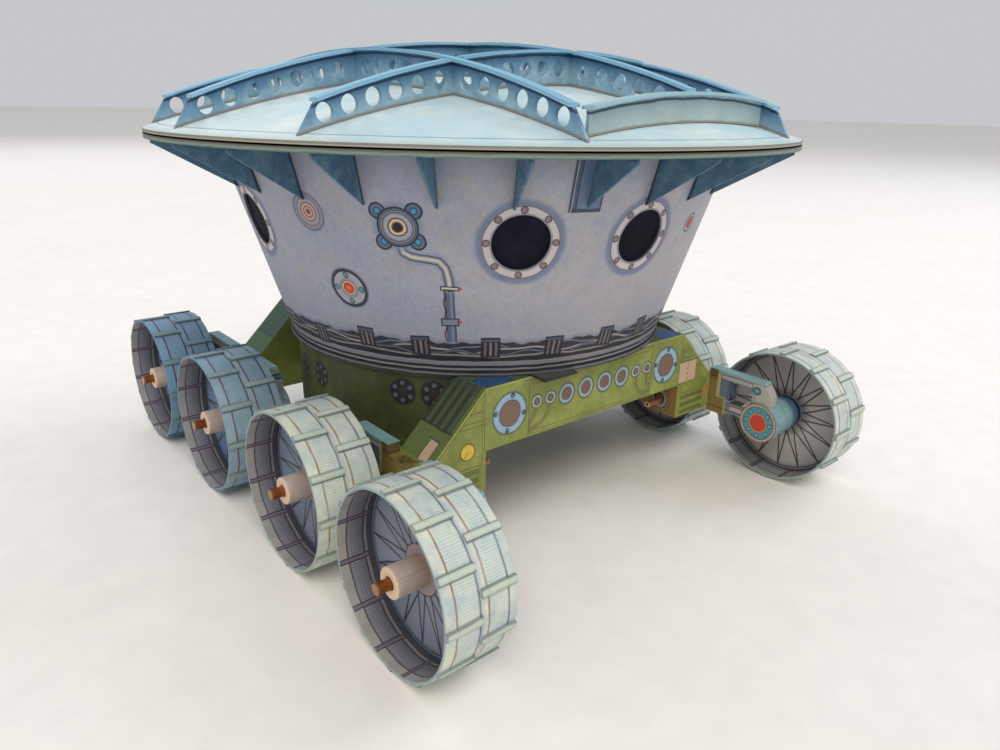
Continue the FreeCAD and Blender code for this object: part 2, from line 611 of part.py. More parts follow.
def add_rib(label, offset, start, end, turn, crossings, slots_above, slopes, holes_from=None):
    """Curved rib with a cap strip. Crossing ribs are let into each other by half their height."""
    body = new_body(label)
    under_strip = ("crown_centre", "crown_radius - strip_card")
    web = rib_sketch(body, offset, "Web", ("dome_centre", "dome_radius + glue_gap"), under_strip,
                     start, end, slopes)
    pad(body, web, "WebCard", "rib_card", both_ways=True)
    strip = rib_sketch(body, offset, "Strip", under_strip, ("crown_centre", "crown_radius"),
                       start + slopes[0], end - slopes[1])
    pad(body, strip, "StripCard", "strip_width", both_ways=True)
    notches = []
    caps = []
    for crossing in crossings:
        height = web_middle(offset, crossing)
        if slots_above:
            top = height + size["rib_rise"]
            notches.append((crossing, "rib_card", height, top))
            caps.append((crossing, "strip_width", crown_height(offset, crossing) - 2 * size["strip_card"], top))
        else:
            notches.append((crossing, "rib_card", height - size["rib_rise"], height))
    for name, slots in (("Notch", notches), ("CapNotch", caps)):
        if slots:
            sketch = sketch_on(body, "XZ_Plane", f"{name}es")
            for crossing, width, low, high in slots:
                slot(sketch, crossing, width, low, high)
            pocket(body, sketch, name, "2 * strip_width")
    if holes_from is not None:
        lightening = sketch_on(body, "XZ_Plane", "Holes")
        stops = [holes_from, *crossings, end - size["rib_slope"] / 2]
        for near, far in zip(stops, stops[1:]):
            room = far - near - 2 * size["hole_radius"] - size["strip_width"]
            count = int(room // size["hole_pitch"]) + 1
            first = (near + far) / 2 - (count - 1) / 2 * size["hole_pitch"]
            for step in range(count):
                across = first + step * size["hole_pitch"]
                height = web_middle(offset, across) - size["strip_card"] / 2
                circle(lightening, "hole_radius", f"{across}", f"{height}")
        pocket(body, lightening, "Lightening", "2 * strip_width")
    spin = Rotation(Vector(0, 0, 1), size["rib_turn"])
    away = spin.multVec(turn.multVec(Vector(0, offset, 0)))
    body.Placement = Placement(Vector(0, size["tub_axis_y"], 0) + away, spin.multiply(turn))


def add_ribs():
    """Three ribs along X, three along Y let into them, and a short plain rib across the front."""
    lengthways = Rotation(Vector(0, 0, 1), 90)
    slope = size["rib_slope"]
    inset = size["strip_width"] / 2 + size["glue_gap"]
    for name, offset in cross_ribs:
        half = reach(offset)
        add_rib(f"lid_rib_cross_{name}", offset, -half, half, Rotation(),
                [place for _, place, _ in long_ribs], True, (slope, slope), slope / 2 - half)
    for name, offset, full in long_ribs:
        half = reach(offset)
        start = -half if full else size["chord_y"] + inset
        add_rib(f"lid_rib_long_{name}", -offset, start, half, lengthways,
                [place for _, place in cross_ribs], False, (slope if full else 0.0, slope), size["chord_y"])
    add_rib("lid_rib_short", size["chord_y"], long_ribs[0][1] + inset, long_ribs[-1][1] - inset,
            Rotation(), [], True, (0.0, 0.0))


def write_parts():
    """Check every object, then write each sub-part to its own file."""
    doc.recompute()
    for item in doc.Objects:
        bad = [state for state in item.State if state in ("Invalid", "Error")]
        if bad:
            raise RuntimeError(f"{item.Label} is {bad}")
    for item in pieces:
        if item.Shape.isNull() or not item.Shape.isValid():
            raise RuntimeError(f"{item.Label} has no valid shape")
    os.makedirs("parts", exist_ok=True)
    for item in pieces:
        item.Shape.exportStep(f"parts/{item.Label}.step")
        print(item.Label, len(item.Shape.Solids), "solids", round(item.Shape.Volume, 1), "mm3")
    print(len(pieces), "sub-parts")


add_wheels()
add_running_gear()
add_chassis()
add_tub()
add_gussets()
add_deck()
add_lid()
add_ribs()
write_parts()
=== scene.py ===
# Dresses the card model rover: printed card wheels, green frame, grey tub, ribbed lid
import math

import bmesh
import bpy
from mathutils import Matrix, Vector


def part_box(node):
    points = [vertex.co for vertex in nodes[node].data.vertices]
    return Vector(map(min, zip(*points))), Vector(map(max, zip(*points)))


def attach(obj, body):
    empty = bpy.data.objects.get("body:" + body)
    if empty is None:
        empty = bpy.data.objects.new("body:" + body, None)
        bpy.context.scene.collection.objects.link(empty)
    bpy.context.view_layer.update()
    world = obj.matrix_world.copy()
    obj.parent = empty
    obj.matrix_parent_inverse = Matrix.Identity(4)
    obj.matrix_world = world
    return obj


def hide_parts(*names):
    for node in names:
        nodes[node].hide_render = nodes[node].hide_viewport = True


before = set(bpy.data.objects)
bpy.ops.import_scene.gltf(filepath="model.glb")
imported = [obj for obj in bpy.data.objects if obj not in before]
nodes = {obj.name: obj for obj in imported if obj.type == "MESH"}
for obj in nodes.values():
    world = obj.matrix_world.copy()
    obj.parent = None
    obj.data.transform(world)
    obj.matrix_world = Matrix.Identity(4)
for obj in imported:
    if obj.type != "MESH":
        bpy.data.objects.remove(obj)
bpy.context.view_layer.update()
wheelNames = [f"{side}_{number}" for side in ("right", "left") for number in (1, 2, 3, 4)]
print("frame loaded:", len(nodes), "card pieces")


def linear(code):
    # a screen colour such as a5a5ae in the shader's own numbers
    parts = [int(code[i:i + 2], 16) / 255 for i in (0, 2, 4)]
    return [part / 12.92 if part <= 0.04045 else ((part + 0.055) / 1.055) ** 2.4 for part in parts] + [1]


class Ink:
    # one socket of a finish, so that sums on it can be written plainly
    def __init__(self, finish, socket):
        self.finish = finish
        self.socket = socket

    def maths(self, operation, *values, clamp=False):
        settings = {"operation": operation, "use_clamp": clamp}
        return self.finish.node("ShaderNodeMath", settings, dict(enumerate(values)))

    def __add__(self, other):
        return self.maths("ADD", self, other)

    def __sub__(self, other):
        return self.maths("SUBTRACT", self, other)

    def __rsub__(self, other):
        return self.maths("SUBTRACT", other, self)

    def __mul__(self, other):
        return self.maths("MULTIPLY", self, other)

    def __pow__(self, other):
        return self.maths("POWER", self, other)

    def __abs__(self):
        return self.maths("ABSOLUTE", self)

    def sine(self):
        return self.maths("SINE", self)

    def least(self, other):
        return self.maths("MINIMUM", self, other)

    def most(self, other):
        return self.maths("MAXIMUM", self, other)

    def fold(self, half):
        # distance from the nearest multiple of twice half
        return self.maths("PINGPONG", self, half)

    def above(self, level, soft=0.08):
        return self.maths("MULTIPLY_ADD", self, 1 / soft, 0.5 - level / soft, clamp=True)

    def below(self, level, soft=0.08):
        return self.maths("MULTIPLY_ADD", self, -1 / soft, 0.5 + level / soft, clamp=True)

    def within(self, low, high, soft=0.08):
        away = abs(self - (low + high) / 2)
        return away.below((high - low) / 2, soft)


class Finish:
    # a surface painted in layers over Object coordinates, all lengths in millimetres
    def __init__(self, name, shake=0.1):
        self.material = bpy.data.materials.new(name)
        self.material.use_nodes = True
        self.tree = self.material.node_tree
        self.surface = self.tree.nodes["Principled BSDF"]
        place = self.node("ShaderNodeTexCoord", output="Object")
        self.spot = self.vector("SCALE", place, Scale=1000)
        unsteady = self.noise(3.5, detail=2, signed=True, output="Color")
        self.drawn = self.vector("MULTIPLY_ADD", unsteady, [shake] * 3, self.spot)  # a hand-drawn line strays
        self.x, self.y, self.z = self.split(self.drawn)
        self.trueX, self.trueY, self.trueZ = self.split(self.spot)

    def node(self, kind, settings=None, values=None, output=0):
        made = self.tree.nodes.new(kind)
        for name, value in (settings or {}).items():
            setattr(made, name, value)
        for name, value in (values or {}).items():
            if isinstance(value, Ink):
                self.tree.links.new(value.socket, made.inputs[name])
            else:
                made.inputs[name].default_value = value
        return Ink(self, made.outputs[output])

    def vector(self, operation, *values, output="Vector", **named):
        inputs = dict(enumerate(values)) | named
        return self.node("ShaderNodeVectorMath", {"operation": operation}, inputs, output)

    def split(self, spot):
        separate = self.node("ShaderNodeSeparateXYZ", values={0: spot})
        outputs = separate.socket.node.outputs
        return [Ink(self, socket) for socket in outputs]

    def noise(self, size, detail=3, rough=0.55, signed=False, output="Fac", spot=None):
        values = {"Vector": spot or self.spot, "Scale": 1 / size, "Detail": detail, "Roughness": rough}
        return self.node("ShaderNodeTexNoise", {"normalize": not signed}, values, output)

    def mix(self, factor, under, over):
        return self.node("ShaderNodeMix", {"data_type": "RGBA"}, {0: factor, 6: under, 7: over}, 2)

    def wash(self, size, first, second, contrast=3.0):
        # two tints that run into each other like watercolour
        run = (self.noise(size, detail=5, rough=0.62) - 0.5) * contrast
        self.colour = self.mix(run.above(0, 1), linear(first), linear(second))

    def paint(self, mask, tint, strength=1):
        factor = mask if strength == 1 else mask * strength
        self.colour = self.mix(factor, self.colour, linear(tint))

    def stain(self, size, tint, strength, cover=0.5):
        # loose patches of another tint over about that share of the surface
        patches = self.noise(size, detail=4, rough=0.6).above(1 - cover, 0.22)
        self.paint(patches, tint, strength)

    def reach(self, across, up):
        return (across * across + up * up) ** 0.5

    def polar(self, across, up):
        degrees = across.maths("ARCTAN2", up, across) * math.degrees(1)
        return self.reach(across, up), degrees

    def strips(self, value, *spans, soft=0.08):
        # the places where a value lies in any of the spans
        mask = None
        for low, high in spans:
            strip = value.within(low, high, soft)
            mask = strip if mask is None else mask.most(strip)
        return mask

    def bolts(self, radius, degrees, circle, half):
        # distance from the nearest bolt of a ring of them, half the angle between two bolts given
        return self.reach(degrees.fold(half) * math.radians(circle), radius - circle)

    def near(self, point, spot=None):
        return self.vector("DISTANCE", spot or self.drawn, list(point), output="Value")

    def flatRun(self, across, up, start, end):
        # distance of a place from a straight stretch in a flat drawing
        wayX, wayY = end[0] - start[0], end[1] - start[1]
        square = wayX * wayX + wayY * wayY
        offX, offY = across - start[0], up - start[1]
        share = offX * (wayX / square) + offY * (wayY / square)
        share = share.maths("ADD", share, 0, clamp=True)
        return self.reach(offX - share * wayX, offY - share * wayY)

    def nearestRun(self, across, up, stretches):
        # distance from the nearest of several straight stretches
        nearest = None
        for start, end in stretches:
            distance = self.flatRun(across, up, start, end)
            nearest = distance if nearest is None else nearest.least(distance)
        return nearest

    def rings(self, distance, *layers):
        # discs painted one over another, the widest first
        for reach, tint in layers:
            self.paint(distance.below(reach, 0.12), tint)

    def coats(self, mask, value, *layers):
        # the same within a mask, each with its own strength
        for reach, tint, strength in layers:
            self.paint(mask * value.below(reach), tint, strength)

    def stains(self, *stains):
        for stain in stains:
            self.stain(*stain)

    def seal(self, roughness=0.62, tooth=0.06, fibre=0.14):
        # paper fibre in the colour, the gloss and the relief
        fibres = self.noise(0.45, detail=6, rough=0.72)
        clouds = self.noise(7, detail=4)
        shade = fibres * fibre + clouds * 0.14 + (0.93 - fibre / 2)
        toned = self.vector("SCALE", self.colour, Scale=shade)
        relief = fibres + clouds * 3
        gloss = clouds * 0.16 + (roughness - 0.08)
        settings = {"Strength": 0.35, "Distance": tooth / 1000, "Height": relief}
        bump = self.node("ShaderNodeBump", values=settings)
        self.link("Base Color", toned)
        self.link("Roughness", gloss)
        self.link("Normal", bump)

    def link(self, name, ink):
        self.tree.links.new(ink.socket, self.surface.inputs[name])

    def wheelPlace(self, exact=False):
        # distance along from the nearest axle and height over it, for all four wheels of a side
        y, z = (self.trueY, self.trueZ) if exact else (self.y, self.z)
        along = abs(abs(y) - axleMiddle) - axleSpread
        return along, z - axleHeight

    def tubPlace(self, exact=False):
        # distance from the tub's axis, and degrees from the front towards the left side
        x, y = (self.trueX, self.trueY) if exact else (self.x, self.y)
        return self.polar(tubAxis - y, x)


def onCircle(radius, degrees):
    turn = math.radians(degrees)
    return Vector((radius * math.cos(turn), radius * math.sin(turn)))


def dress(finish, *names):
    for name in names:
        slots = nodes[name].material_slots
        for slot in slots:
            slot.material = finish.material


def newPiece(name, shape, finish, body, replaced=(), sharp=35):
    mesh = bpy.data.meshes.new(name)
    bmesh.ops.remove_doubles(shape, verts=shape.verts, dist=1e-7)
    bmesh.ops.recalc_face_normals(shape, faces=shape.faces)
    shape.to_mesh(mesh)
    shape.free()
    mesh.shade_smooth()
    mesh.set_sharp_from_angle(angle=math.radians(sharp))
    piece = bpy.data.objects.new(name, mesh)
    bpy.context.scene.collection.objects.link(piece)
    mesh.materials.append(finish.material)
    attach(piece, body)
    if replaced:
        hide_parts(*replaced)
    return piece


def turnedRing(shape, start, end, inner, outer, steps):
    # a ring round the X axis from start to end, between two radii
    outline = ((start, inner), (end, inner), (end, outer), (start, outer))
    verts = [shape.verts.new((along, 0, radius)) for along, radius in outline]
    edges = [shape.edges.new(pair) for pair in zip(verts, verts[1:] + verts[:1])]
    bmesh.ops.spin(shape, geom=verts + edges, axis=(1, 0, 0), cent=(0, 0, 0), angle=2 * math.pi,
                   steps=steps, use_merge=True)
    bmesh.ops.remove_doubles(shape, verts=shape.verts, dist=1e-7)


def rounded(shape, edges, size, steps=2):
    made = bmesh.ops.bevel(shape, geom=edges, affect="EDGES", offset=size, segments=steps, profile=0.5,
                           material=-1)
    return made["faces"]


def mouthEdges(shape, mouth):
    # the sharp edges of a tube along X at one of its ends
    sharp = [edge for edge in shape.edges if edge.calc_face_angle(0) > 1]
    return [edge for edge in sharp if all(abs(vert.co.x - mouth) < 1e-6 for vert in edge.verts)]


# places read from the frame
axles = {}
for name in wheelNames:
    low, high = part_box(f"tread_{name}")
    axles[name] = (low + high) / 2
axleHeight = 1000 * axles["left_1"].z
axlePlaces = sorted({round(1000 * abs(axles[name].y), 3) for name in wheelNames})
axleMiddle = sum(axlePlaces) / 2
axleSpread = (axlePlaces[1] - axlePlaces[0]) / 2
rimPlane = 1000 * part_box("tread_left_1")[1].x
discPlane = 1000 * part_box("spoke_disc_left_1")[1].x
hubMouth = 1000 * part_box("hub_tube_left_1")[1].x
beamFace = 1000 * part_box("beam_rear")[1].y
beamOffset = 500 * (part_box("beam_rear")[0].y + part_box("beam_rear")[1].y)
tubLow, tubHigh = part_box("tub_shell")
tubAxis = 1000 * (tubLow.y + tubHigh.y) / 2
tubFoot = 1000 * tubLow.z
tubTop = 1000 * tubHigh.z
tub = {"footRadius": 40.6, "topRadius": 1000 * (tubHigh.x - tubLow.x) / 2}
tub["lean"] = (tub["topRadius"] - tub["footRadius"]) / (tubTop - tubFoot)


def wallRadius(height):
    # outside of the tub's wall
    return height * tub["lean"] + (tub["footRadius"] - tub["lean"] * tubFoot)


def offWall(degrees, height, proud):
    # a point that far off the tub's wall, its angle counted from the left side towards the rear
    x, y = onCircle(wallRadius(height) + proud, degrees)
    return Vector((x, tubAxis + y, height))


# wheels
# radii, and spans across the band from its outer rim, of what is printed on it
treadLook = {"middle": 6.2, "width": 12.35, "lugPitch": 30, "radius": 14.7, "lugTop": 14.78, "inside": 14.4,
             "insideRadius": 14.2, "rows": ((1.95, 5.8), (7.35, 10.8)),
             "brown": ((1.77, 2.08), (7.13, 7.44)), "slate": ((5.67, 6.0), (10.67, 11.0)),
             "deep": ((1.6, 4.6), (7.8, 10.8)), "tan": ((4.75, 5.25), (7.15, 7.65)), "slot": (5.45, 6.95),
             "ruled": ((1.5, 1.72), (4.5, 4.75), (5.25, 5.45), (6.95, 7.15), (7.65, 7.9), (10.68, 10.9))}


def treadFinish():
    look = treadLook
    card = Finish("treadCard")
    card.wash(5, "b2c3c1", "d4d9ca", 4)
    card.stains((20, "a0bdc8", 0.45, 0.42), (3, "ece9c6", 0.6, 0.45), (2.2, "bba9bf", 0.35, 0.4),
                (1.5, "9dbdb2", 0.35, 0.38))
    rear = card.trueY.above(0, 45)  # painted shade: the rear wheels are painted bluer and darker, as they stand in dim blue light
    card.paint(rear, "427799", 0.8)
    card.paint(rear * card.noise(5).above(0.5, 0.3), "5f93bd", 0.5)
    degrees = card.polar(*card.wheelPlace())[1]
    radius = card.polar(*card.wheelPlace(True))[0]
    across = rimPlane - abs(card.x)
    trueAcross = rimPlane - abs(card.trueX)
    # lugs stand in two rows, and the rows change sides between the left and right wheels
    left = card.trueX.above(0, 0.01)
    innerRow = trueAcross.above(look["middle"], 0.01)
    stagger = abs(left - innerRow) * (look["lugPitch"] / 2)
    fromLug = (degrees + stagger).fold(look["lugPitch"] / 2) * math.radians(look["radius"])
    # fine mesh of both rows
    mesh = card.strips(across, *look["rows"], soft=0.2)
    ladder = (degrees * math.radians(look["radius"])).fold(0.23).below(0.07, 0.14)
    columns = across.fold(0.31).below(0.08, 0.16)
    # painted shade: on the rear wheels the mesh is painted a darker blue and its dashes are stronger
    broken = (card.noise(0.9, detail=2).above(0.5, 0.3) * 0.65 + 0.35) * (rear * 0.55 + 0.45)
    card.paint(mesh * rear, "2b5c94", 0.55)
    card.paint(mesh, "a5bfc2", 0.25)
    card.paint(mesh * ladder * broken, "55788c", 0.62)
    card.paint(mesh * columns * broken, "6c8da0", 0.3)
    card.paint(mesh * (1 - ladder) * card.noise(2.4).above(0.5, 0.3) * (1 - rear), "e9ebd6", 0.35)
    # faded lines that edge the mesh
    faded = card.noise(4, detail=2).above(0.42, 0.4) * 0.55 + 0.45
    brown = card.strips(across, *look["brown"], soft=0.14)
    slate = card.strips(across, *look["slate"], soft=0.16)
    card.paint(across.within(5.7, 6.5, 0.5), "8796ad", 0.3)
    card.paint(brown * faded, "955a3a", 0.88)
    card.paint(slate * faded, "544c62", 0.85)
    card.paint(slate * (1 - faded), "8a6a58", 0.6)
    # painted shade: on the rear wheels the lines turn navy
    card.paint(brown.most(slate) * rear, "18203c", 0.85)
    # lugs and the shade at their feet
    lugTop = radius.above(look["lugTop"], 0.02)
    card.paint(fromLug.below(0.82, 0.16) * (1 - lugTop), "66707a", 0.55)
    card.paint(lugTop, "b2c1b2", 0.85)
    # painted highlight along the middle of each lug, and painted shade on the lugs of the rear wheels
    card.paint(lugTop * fromLug.below(0.25, 0.2), "ccd3c0", 0.5)
    card.paint(lugTop * rear, "447286", 0.78)
    card.paint(fromLug.above(0.48, 0.1) * lugTop, "5b655f", 0.65)
    card.paint(across.below(0.14).most(across.above(12.26)) * lugTop, "5c6870", 0.55)
    # inside of the band
    inside = radius.below(look["inside"], 0.05)
    card.paint(inside, "8f8b88", 0.85)
    card.paint(inside * card.noise(3).above(0.5, 0.3), "a39a90", 0.5)
    deep = card.strips(across, *look["deep"], soft=0.12)
    card.paint(inside * deep, "84838a", 0.75)
    card.paint(inside * deep * trueAcross.above(look["middle"], 0.1), "a0a2a4", 0.75)
    card.paint(inside * deep * ladder, "35415e", 0.6)
    card.paint(inside * deep * columns, "46506a", 0.35)
    # painted shade inside the band, darkest towards the disc
    card.paint(inside * across.above(3.2, 2.6) * across.below(6.2, 0.3), "2c3446", 0.5)
    card.paint(inside * card.strips(across, *look["tan"]), "857f78", 0.6)
    card.paint(inside * card.strips(across, *look["ruled"]), "262330", 0.9)
    card.paint(inside * across.within(*look["slot"]), "333a4a", 0.85)
    fromBar = (degrees + look["lugPitch"] / 2).fold(look["lugPitch"] / 2) * math.radians(look["insideRadius"])
    barred = inside * (1 - across.within(5.3, 7.1))
    card.paint(barred * fromBar.below(0.42, 0.1), "6d5f70", 0.9)
    card.paint(barred * fromBar.within(0.24, 0.46), "2a2030", 0.9)
    edge = trueAcross.below(0.05, 0.02).most(trueAcross.above(look["width"], 0.02)) * (1 - lugTop)
    card.paint(edge, "8fa3a4", 0.8)
    # painted shade on the cut edges of the rear wheels
    card.paint(edge * rear, "3f7894", 0.6)
    card.seal(0.58, 0.05)
    return card


# every stretch between two folds holds half of a pair of crossing spokes, as turns at the rim and at the hub
spokes = {"half": 11.25, "rim": 13.4, "hub": 4.0, "turns": ((0.0, 14.0), (22.5, 8.5))}


def discFinish():
    card = Finish("spokedDisc")
    card.wash(6, "b0aba8", "c2bcb6", 3)
    card.stain(5, "bda997", 0.35, 0.4)
    outward = abs(card.trueX).above(discPlane - 0.05, 0.02)
    card.paint(outward, "76849a", 0.85)
    # painted shade: the outward faces of the rear wheels' discs are painted bluer
    card.paint(outward * card.trueY.above(0, 45), "4f7db2", 0.5)
    card.stain(7, "7a8698", 0.3, 0.4)
    radius, degrees = card.polar(*card.wheelPlace())
    angle = degrees.fold(spokes["half"]) * math.radians(1)
    flatX, flatY = radius * angle.maths("COSINE", angle), radius * angle.sine()
    for rimTurn, hubTurn in spokes["turns"]:
        start, end = onCircle(spokes["rim"], rimTurn), onCircle(spokes["hub"], hubTurn)
        side = (end - start).normalized().orthogonal()
        away = abs((flatX - start.x) * side.x + (flatY - start.y) * side.y)
        card.paint(away.below(0.17, 0.12) * radius.within(spokes["hub"], spokes["rim"]), "35242b", 0.92)
    card.paint(radius.within(12.9, 14.3), "5a6170", 0.4)
    card.paint(radius.within(13.35, 13.6), "2a2a34", 0.9)
    card.paint(radius.above(13.9), "2a2a34", 0.8)
    card.paint(outward * radius.within(2.4, 4.2, 0.15), "ab8f8c", 0.7)
    card.paint(outward * radius.within(4.0, 4.25, 0.15), "4a2f38", 0.8)
    # painted shade on the inward face round the motor's foot
    card.paint((1 - outward) * radius.below(5.4, 1.6), "35404f", 0.6)
    card.seal(0.6, 0.05)
    return card


def hubFinish():
    card = Finish("hubPaper")
    card.wash(4, "bfaea2", "aa9f99", 3)
    card.stain(3, "d6c0b0", 0.45, 0.42)
    radius, degrees = card.polar(*card.wheelPlace())
    end = abs(card.trueX).above(hubMouth - 0.12, 0.06)
    card.paint(abs(card.x).above(hubMouth - 0.5, 0.5), "d6bda8", 0.5)
    card.paint(abs(card.x).below(discPlane + 1.6, 1.8), "b58a76", 0.45)
    card.paint(end, "e6c8ab", 0.95)
    # the paper's layers show as a spiral at the mouth, and its end as a line along the tube
    layer = 0.34
    spiral = (radius + degrees * (layer / 360)).fold(layer / 2).below(0.04, 0.06)
    card.paint(end * spiral, "b0927c", 0.25)
    overlap = degrees.within(38, 39.5, 1)
    card.paint(overlap * (1 - end), "7a706c", 0.6)
    card.seal(0.7, 0.05)
    return card


def rodFinish():
    metal = Finish("copperRod")
    metal.wash(2.5, "a05f2f", "7c421d", 3)
    metal.paint(abs(metal.x).above(rimPlane + 1.35, 0.1), "a0774c", 0.85)
    metal.seal(0.3, 0.02)
    metal.surface.inputs["Metallic"].default_value = 0.45
    return metal


def buildTread(name, finish):
    # card band with two staggered rows of raised lugs, in metres
    low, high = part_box(f"tread_{name}")
    reach = (high.z - low.z) / 2
    lug = {"rise": 0.0004, "width": 0.0012, "rooted": 0.00015, "rounding": 0.00012, "perRow": 12}
    band = {"outside": reach - lug["rise"], "card": 0.0005, "rounding": 0.00009, "steps": 96}
    innerEdge, outerEdge = sorted((low.x, high.x), key=abs)
    shape = bmesh.new()
    turnedRing(shape, innerEdge, outerEdge, band["outside"] - band["card"], band["outside"], band["steps"])
    rims = [edge for edge in shape.edges if edge.calc_face_angle(0) > 1]
    rounded(shape, rims, band["rounding"])
    middle = (innerEdge + outerEdge) / 2
    halfPitch = 180 / lug["perRow"]
    rows = ((outerEdge, halfPitch if low.x > 0 else 0), (innerEdge, 0 if low.x > 0 else halfPitch))
    base = reach - lug["rise"] - lug["rooted"]
    for rimX, start in rows:
        span = abs(rimX - middle)
        for step in range(lug["perRow"]):
            made = bmesh.ops.create_cube(shape, size=1)["verts"]
            thick = reach - base
            bmesh.ops.scale(shape, vec=(span, lug["width"], thick), verts=made)
            edges = list({edge for vert in made for edge in vert.link_edges})
            faces = rounded(shape, edges, lug["rounding"])
            made = list({vert for face in faces for vert in face.verts})
            bmesh.ops.translate(shape, vec=((rimX + middle) / 2, 0, base + thick / 2), verts=made)
            turn = math.radians(start + step * 360 / lug["perRow"])
            bmesh.ops.rotate(shape, cent=(0, 0, 0), matrix=Matrix.Rotation(turn, 3, "X"), verts=made)
    centre = axles[name]
    bmesh.ops.translate(shape, vec=(0, centre.y, centre.z), verts=shape.verts)
    node = f"tread_{name}"
    newPiece(f"banded_{node}", shape, finish, f"wheel_{name}", [node])


def buildHub(name, finish):
    # rolled paper tube on the rod, its mouth slightly rounded, in metres
    low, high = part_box(f"hub_tube_{name}")
    foot, mouth = sorted((low.x, high.x), key=abs)
    tube = {"outside": (high.z - low.z) / 2, "bore": 0.00106, "rounding": 0.0002}
    shape = bmesh.new()
    turnedRing(shape, foot, mouth, tube["bore"], tube["outside"], 48)
    rounded(shape, mouthEdges(shape, mouth), tube["rounding"], 3)
    centre = axles[name]
    bmesh.ops.translate(shape, vec=(0, centre.y, centre.z), verts=shape.verts)
    node = f"hub_tube_{name}"
    newPiece(f"rolled_{node}", shape, finish, f"wheel_{name}", [node])


treadCard = treadFinish()
hubPaper = hubFinish()
for name in wheelNames:
    buildTread(name, treadCard)
    buildHub(name, hubPaper)
dress(discFinish(), *[f"spoke_disc_{name}" for name in wheelNames])
dress(rodFinish(), "axle_rods_right", "axle_rods_left")
print("wheels done")


# motors, arms and beams
motorLook = {"face": 38.95, "creases": (43.6, 47.4, 48.4), "crease": 0.16, "boltCircle": 2.9, "bolts": 8,
             "bolt": ((0.54, "1f4a60", 0.9), (0.38, "6fb0bb", 0.95)),
             "boss": ((2.15, "c98236", 0.95), (1.85, "c23a26", 1), (1.5, "d2452c", 0.6))}


def motorFinish():
    look = motorLook
    card = Finish("motorCard")
    card.wash(3, "7da5ab", "9cbdbd", 4)
    card.stain(3, "558896", 0.45, 0.42)
    card.stain(1.6, "b3cfd0", 0.4, 0.4)
    radius, degrees = card.polar(*card.wheelPlace())
    depth = abs(card.x)
    card.paint(depth.above(46.6, 1.5), "33557c", 0.75)
    card.paint(depth.above(49.0, 0.4), "16213a", 0.9)
    for crease in look["creases"]:
        card.paint(depth.within(crease, crease + look["crease"]), "27435c", 0.6)
    # bolted ring and red boss on the end towards the tub
    face = abs(card.trueX).below(look["face"], 0.03)
    card.paint(face * radius.above(3.7), "b7a28c", 0.95)
    card.paint(face * radius.within(3.58, 3.78), "3a2f2c", 0.85)
    card.paint(face * radius.above(4.27), "4a3a34", 0.7)
    card.paint(face * radius.below(3.6), "4d8b98", 0.85)
    bolt = card.bolts(radius, degrees, look["boltCircle"], 180 / look["bolts"])
    card.coats(face, bolt, *look["bolt"])
    card.coats(face, radius, *look["boss"])
    card.seal(0.55, 0.05)
    return card


# heights, and spans of the reach from the beam's middle, of what is printed on an arm
armLook = {"window": (17.6, 22.4), "bar": (22.45, 23.35), "sill": (14.9, 17.3), "step": 17.85, "top": 24.22,
           "boltReach": 17.1, "boltHeight": 22.1}


def armFinish():
    look = armLook
    card = Finish("armCard")
    card.wash(4, "acaba3", "c2b8ab", 3)
    card.stain(4, "8c9da2", 0.45, 0.45)
    card.stain(2, "b8aa98", 0.3, 0.4)
    reach = abs(abs(card.y) - beamOffset)
    height = card.z
    # printed frame round the window, a pale bar over it and a boxed sill below
    upright = height.within(*look["window"])
    card.paint(reach.within(7.95, 11.0) * upright, "4c6280", 0.85)
    card.paint(card.strips(reach, (10.35, 10.6), (9.9, 10.05)) * upright, "1d2636", 0.85)
    card.paint(reach.above(15.9) * upright * reach.below(17.0), "6d7d83", 0.4)
    card.paint(height.within(*look["bar"]) * reach.within(8.2, 15.9), "a4a9ab", 0.85)
    card.paint(card.strips(height, (22.3, 22.48), (23.35, 23.53)) * reach.within(8.0, 16.1), "3c2f33", 0.85)
    card.paint(reach.within(15.85, 16.05) * height.within(17.4, 23.4), "3c2f33", 0.8)
    sill = height.within(*look["sill"]) * reach.within(9.5, 14.9)
    card.paint(sill, "5d7084", 0.85)
    card.paint(sill * height.within(15.45, 16.45) * reach.within(10.9, 14.0), "c4a797", 0.95)
    boxed = card.strips(height, (14.95, 15.12), (17.2, 17.38), (15.3, 15.45), (16.45, 16.6))
    card.paint(boxed * reach.within(9.5, 15.0), "33262c", 0.8)
    card.paint(reach.within(7.0, 7.9) * height.above(17.4), "ae9a86", 0.85)
    card.paint(reach.within(7.85, 8.0) * height.above(17.4), "33262c", 0.8)
    bolt = card.reach(reach - look["boltReach"], height - look["boltHeight"])
    card.rings(bolt, (0.98, "2a3438"), (0.76, "4d838b"), (0.35, "7ba9ac"))
    # stepped bracket at the beam's side with a lime edge
    step = height.above(look["step"], 0.05)
    bracket = reach.below(6.95, 0.05).most(reach.below(9.25, 0.05) * (1 - step))
    lime = reach.below(7.2, 0.05).most(reach.below(9.5, 0.05) * height.below(18.1, 0.05)) * (1 - bracket)
    card.paint(lime, "a3b957", 0.9)
    card.paint(bracket, "8c7036", 0.95)
    card.paint(bracket * card.noise(3).above(0.5, 0.3), "6b6a30", 0.5)
    card.paint(bracket * height.above(22.3), "2c2a1c", 0.55)
    card.paint(bracket * card.strips(height, (15.1, 15.3), (22.3, 22.5), (21.7, 21.85)), "33290f", 0.75)
    # painted shade: the rear arms are painted darker and bluer, their top edges too
    rear = card.trueY.above(8, 60)
    card.paint(rear, "35587c", 0.35)
    # top edge of the card
    top = card.trueZ.above(look["top"], 0.03)
    card.paint(top, "76a5a8", 0.9)
    card.paint(top * rear, "3f6f88", 0.6)
    card.paint(height.within(23.75, 24.25) * reach.above(7.0), "7fadb0", 0.8)
    card.paint(height.within(23.6, 23.75) * reach.above(7.0), "4c3733", 0.7)
    card.seal(0.6, 0.05)
    return card


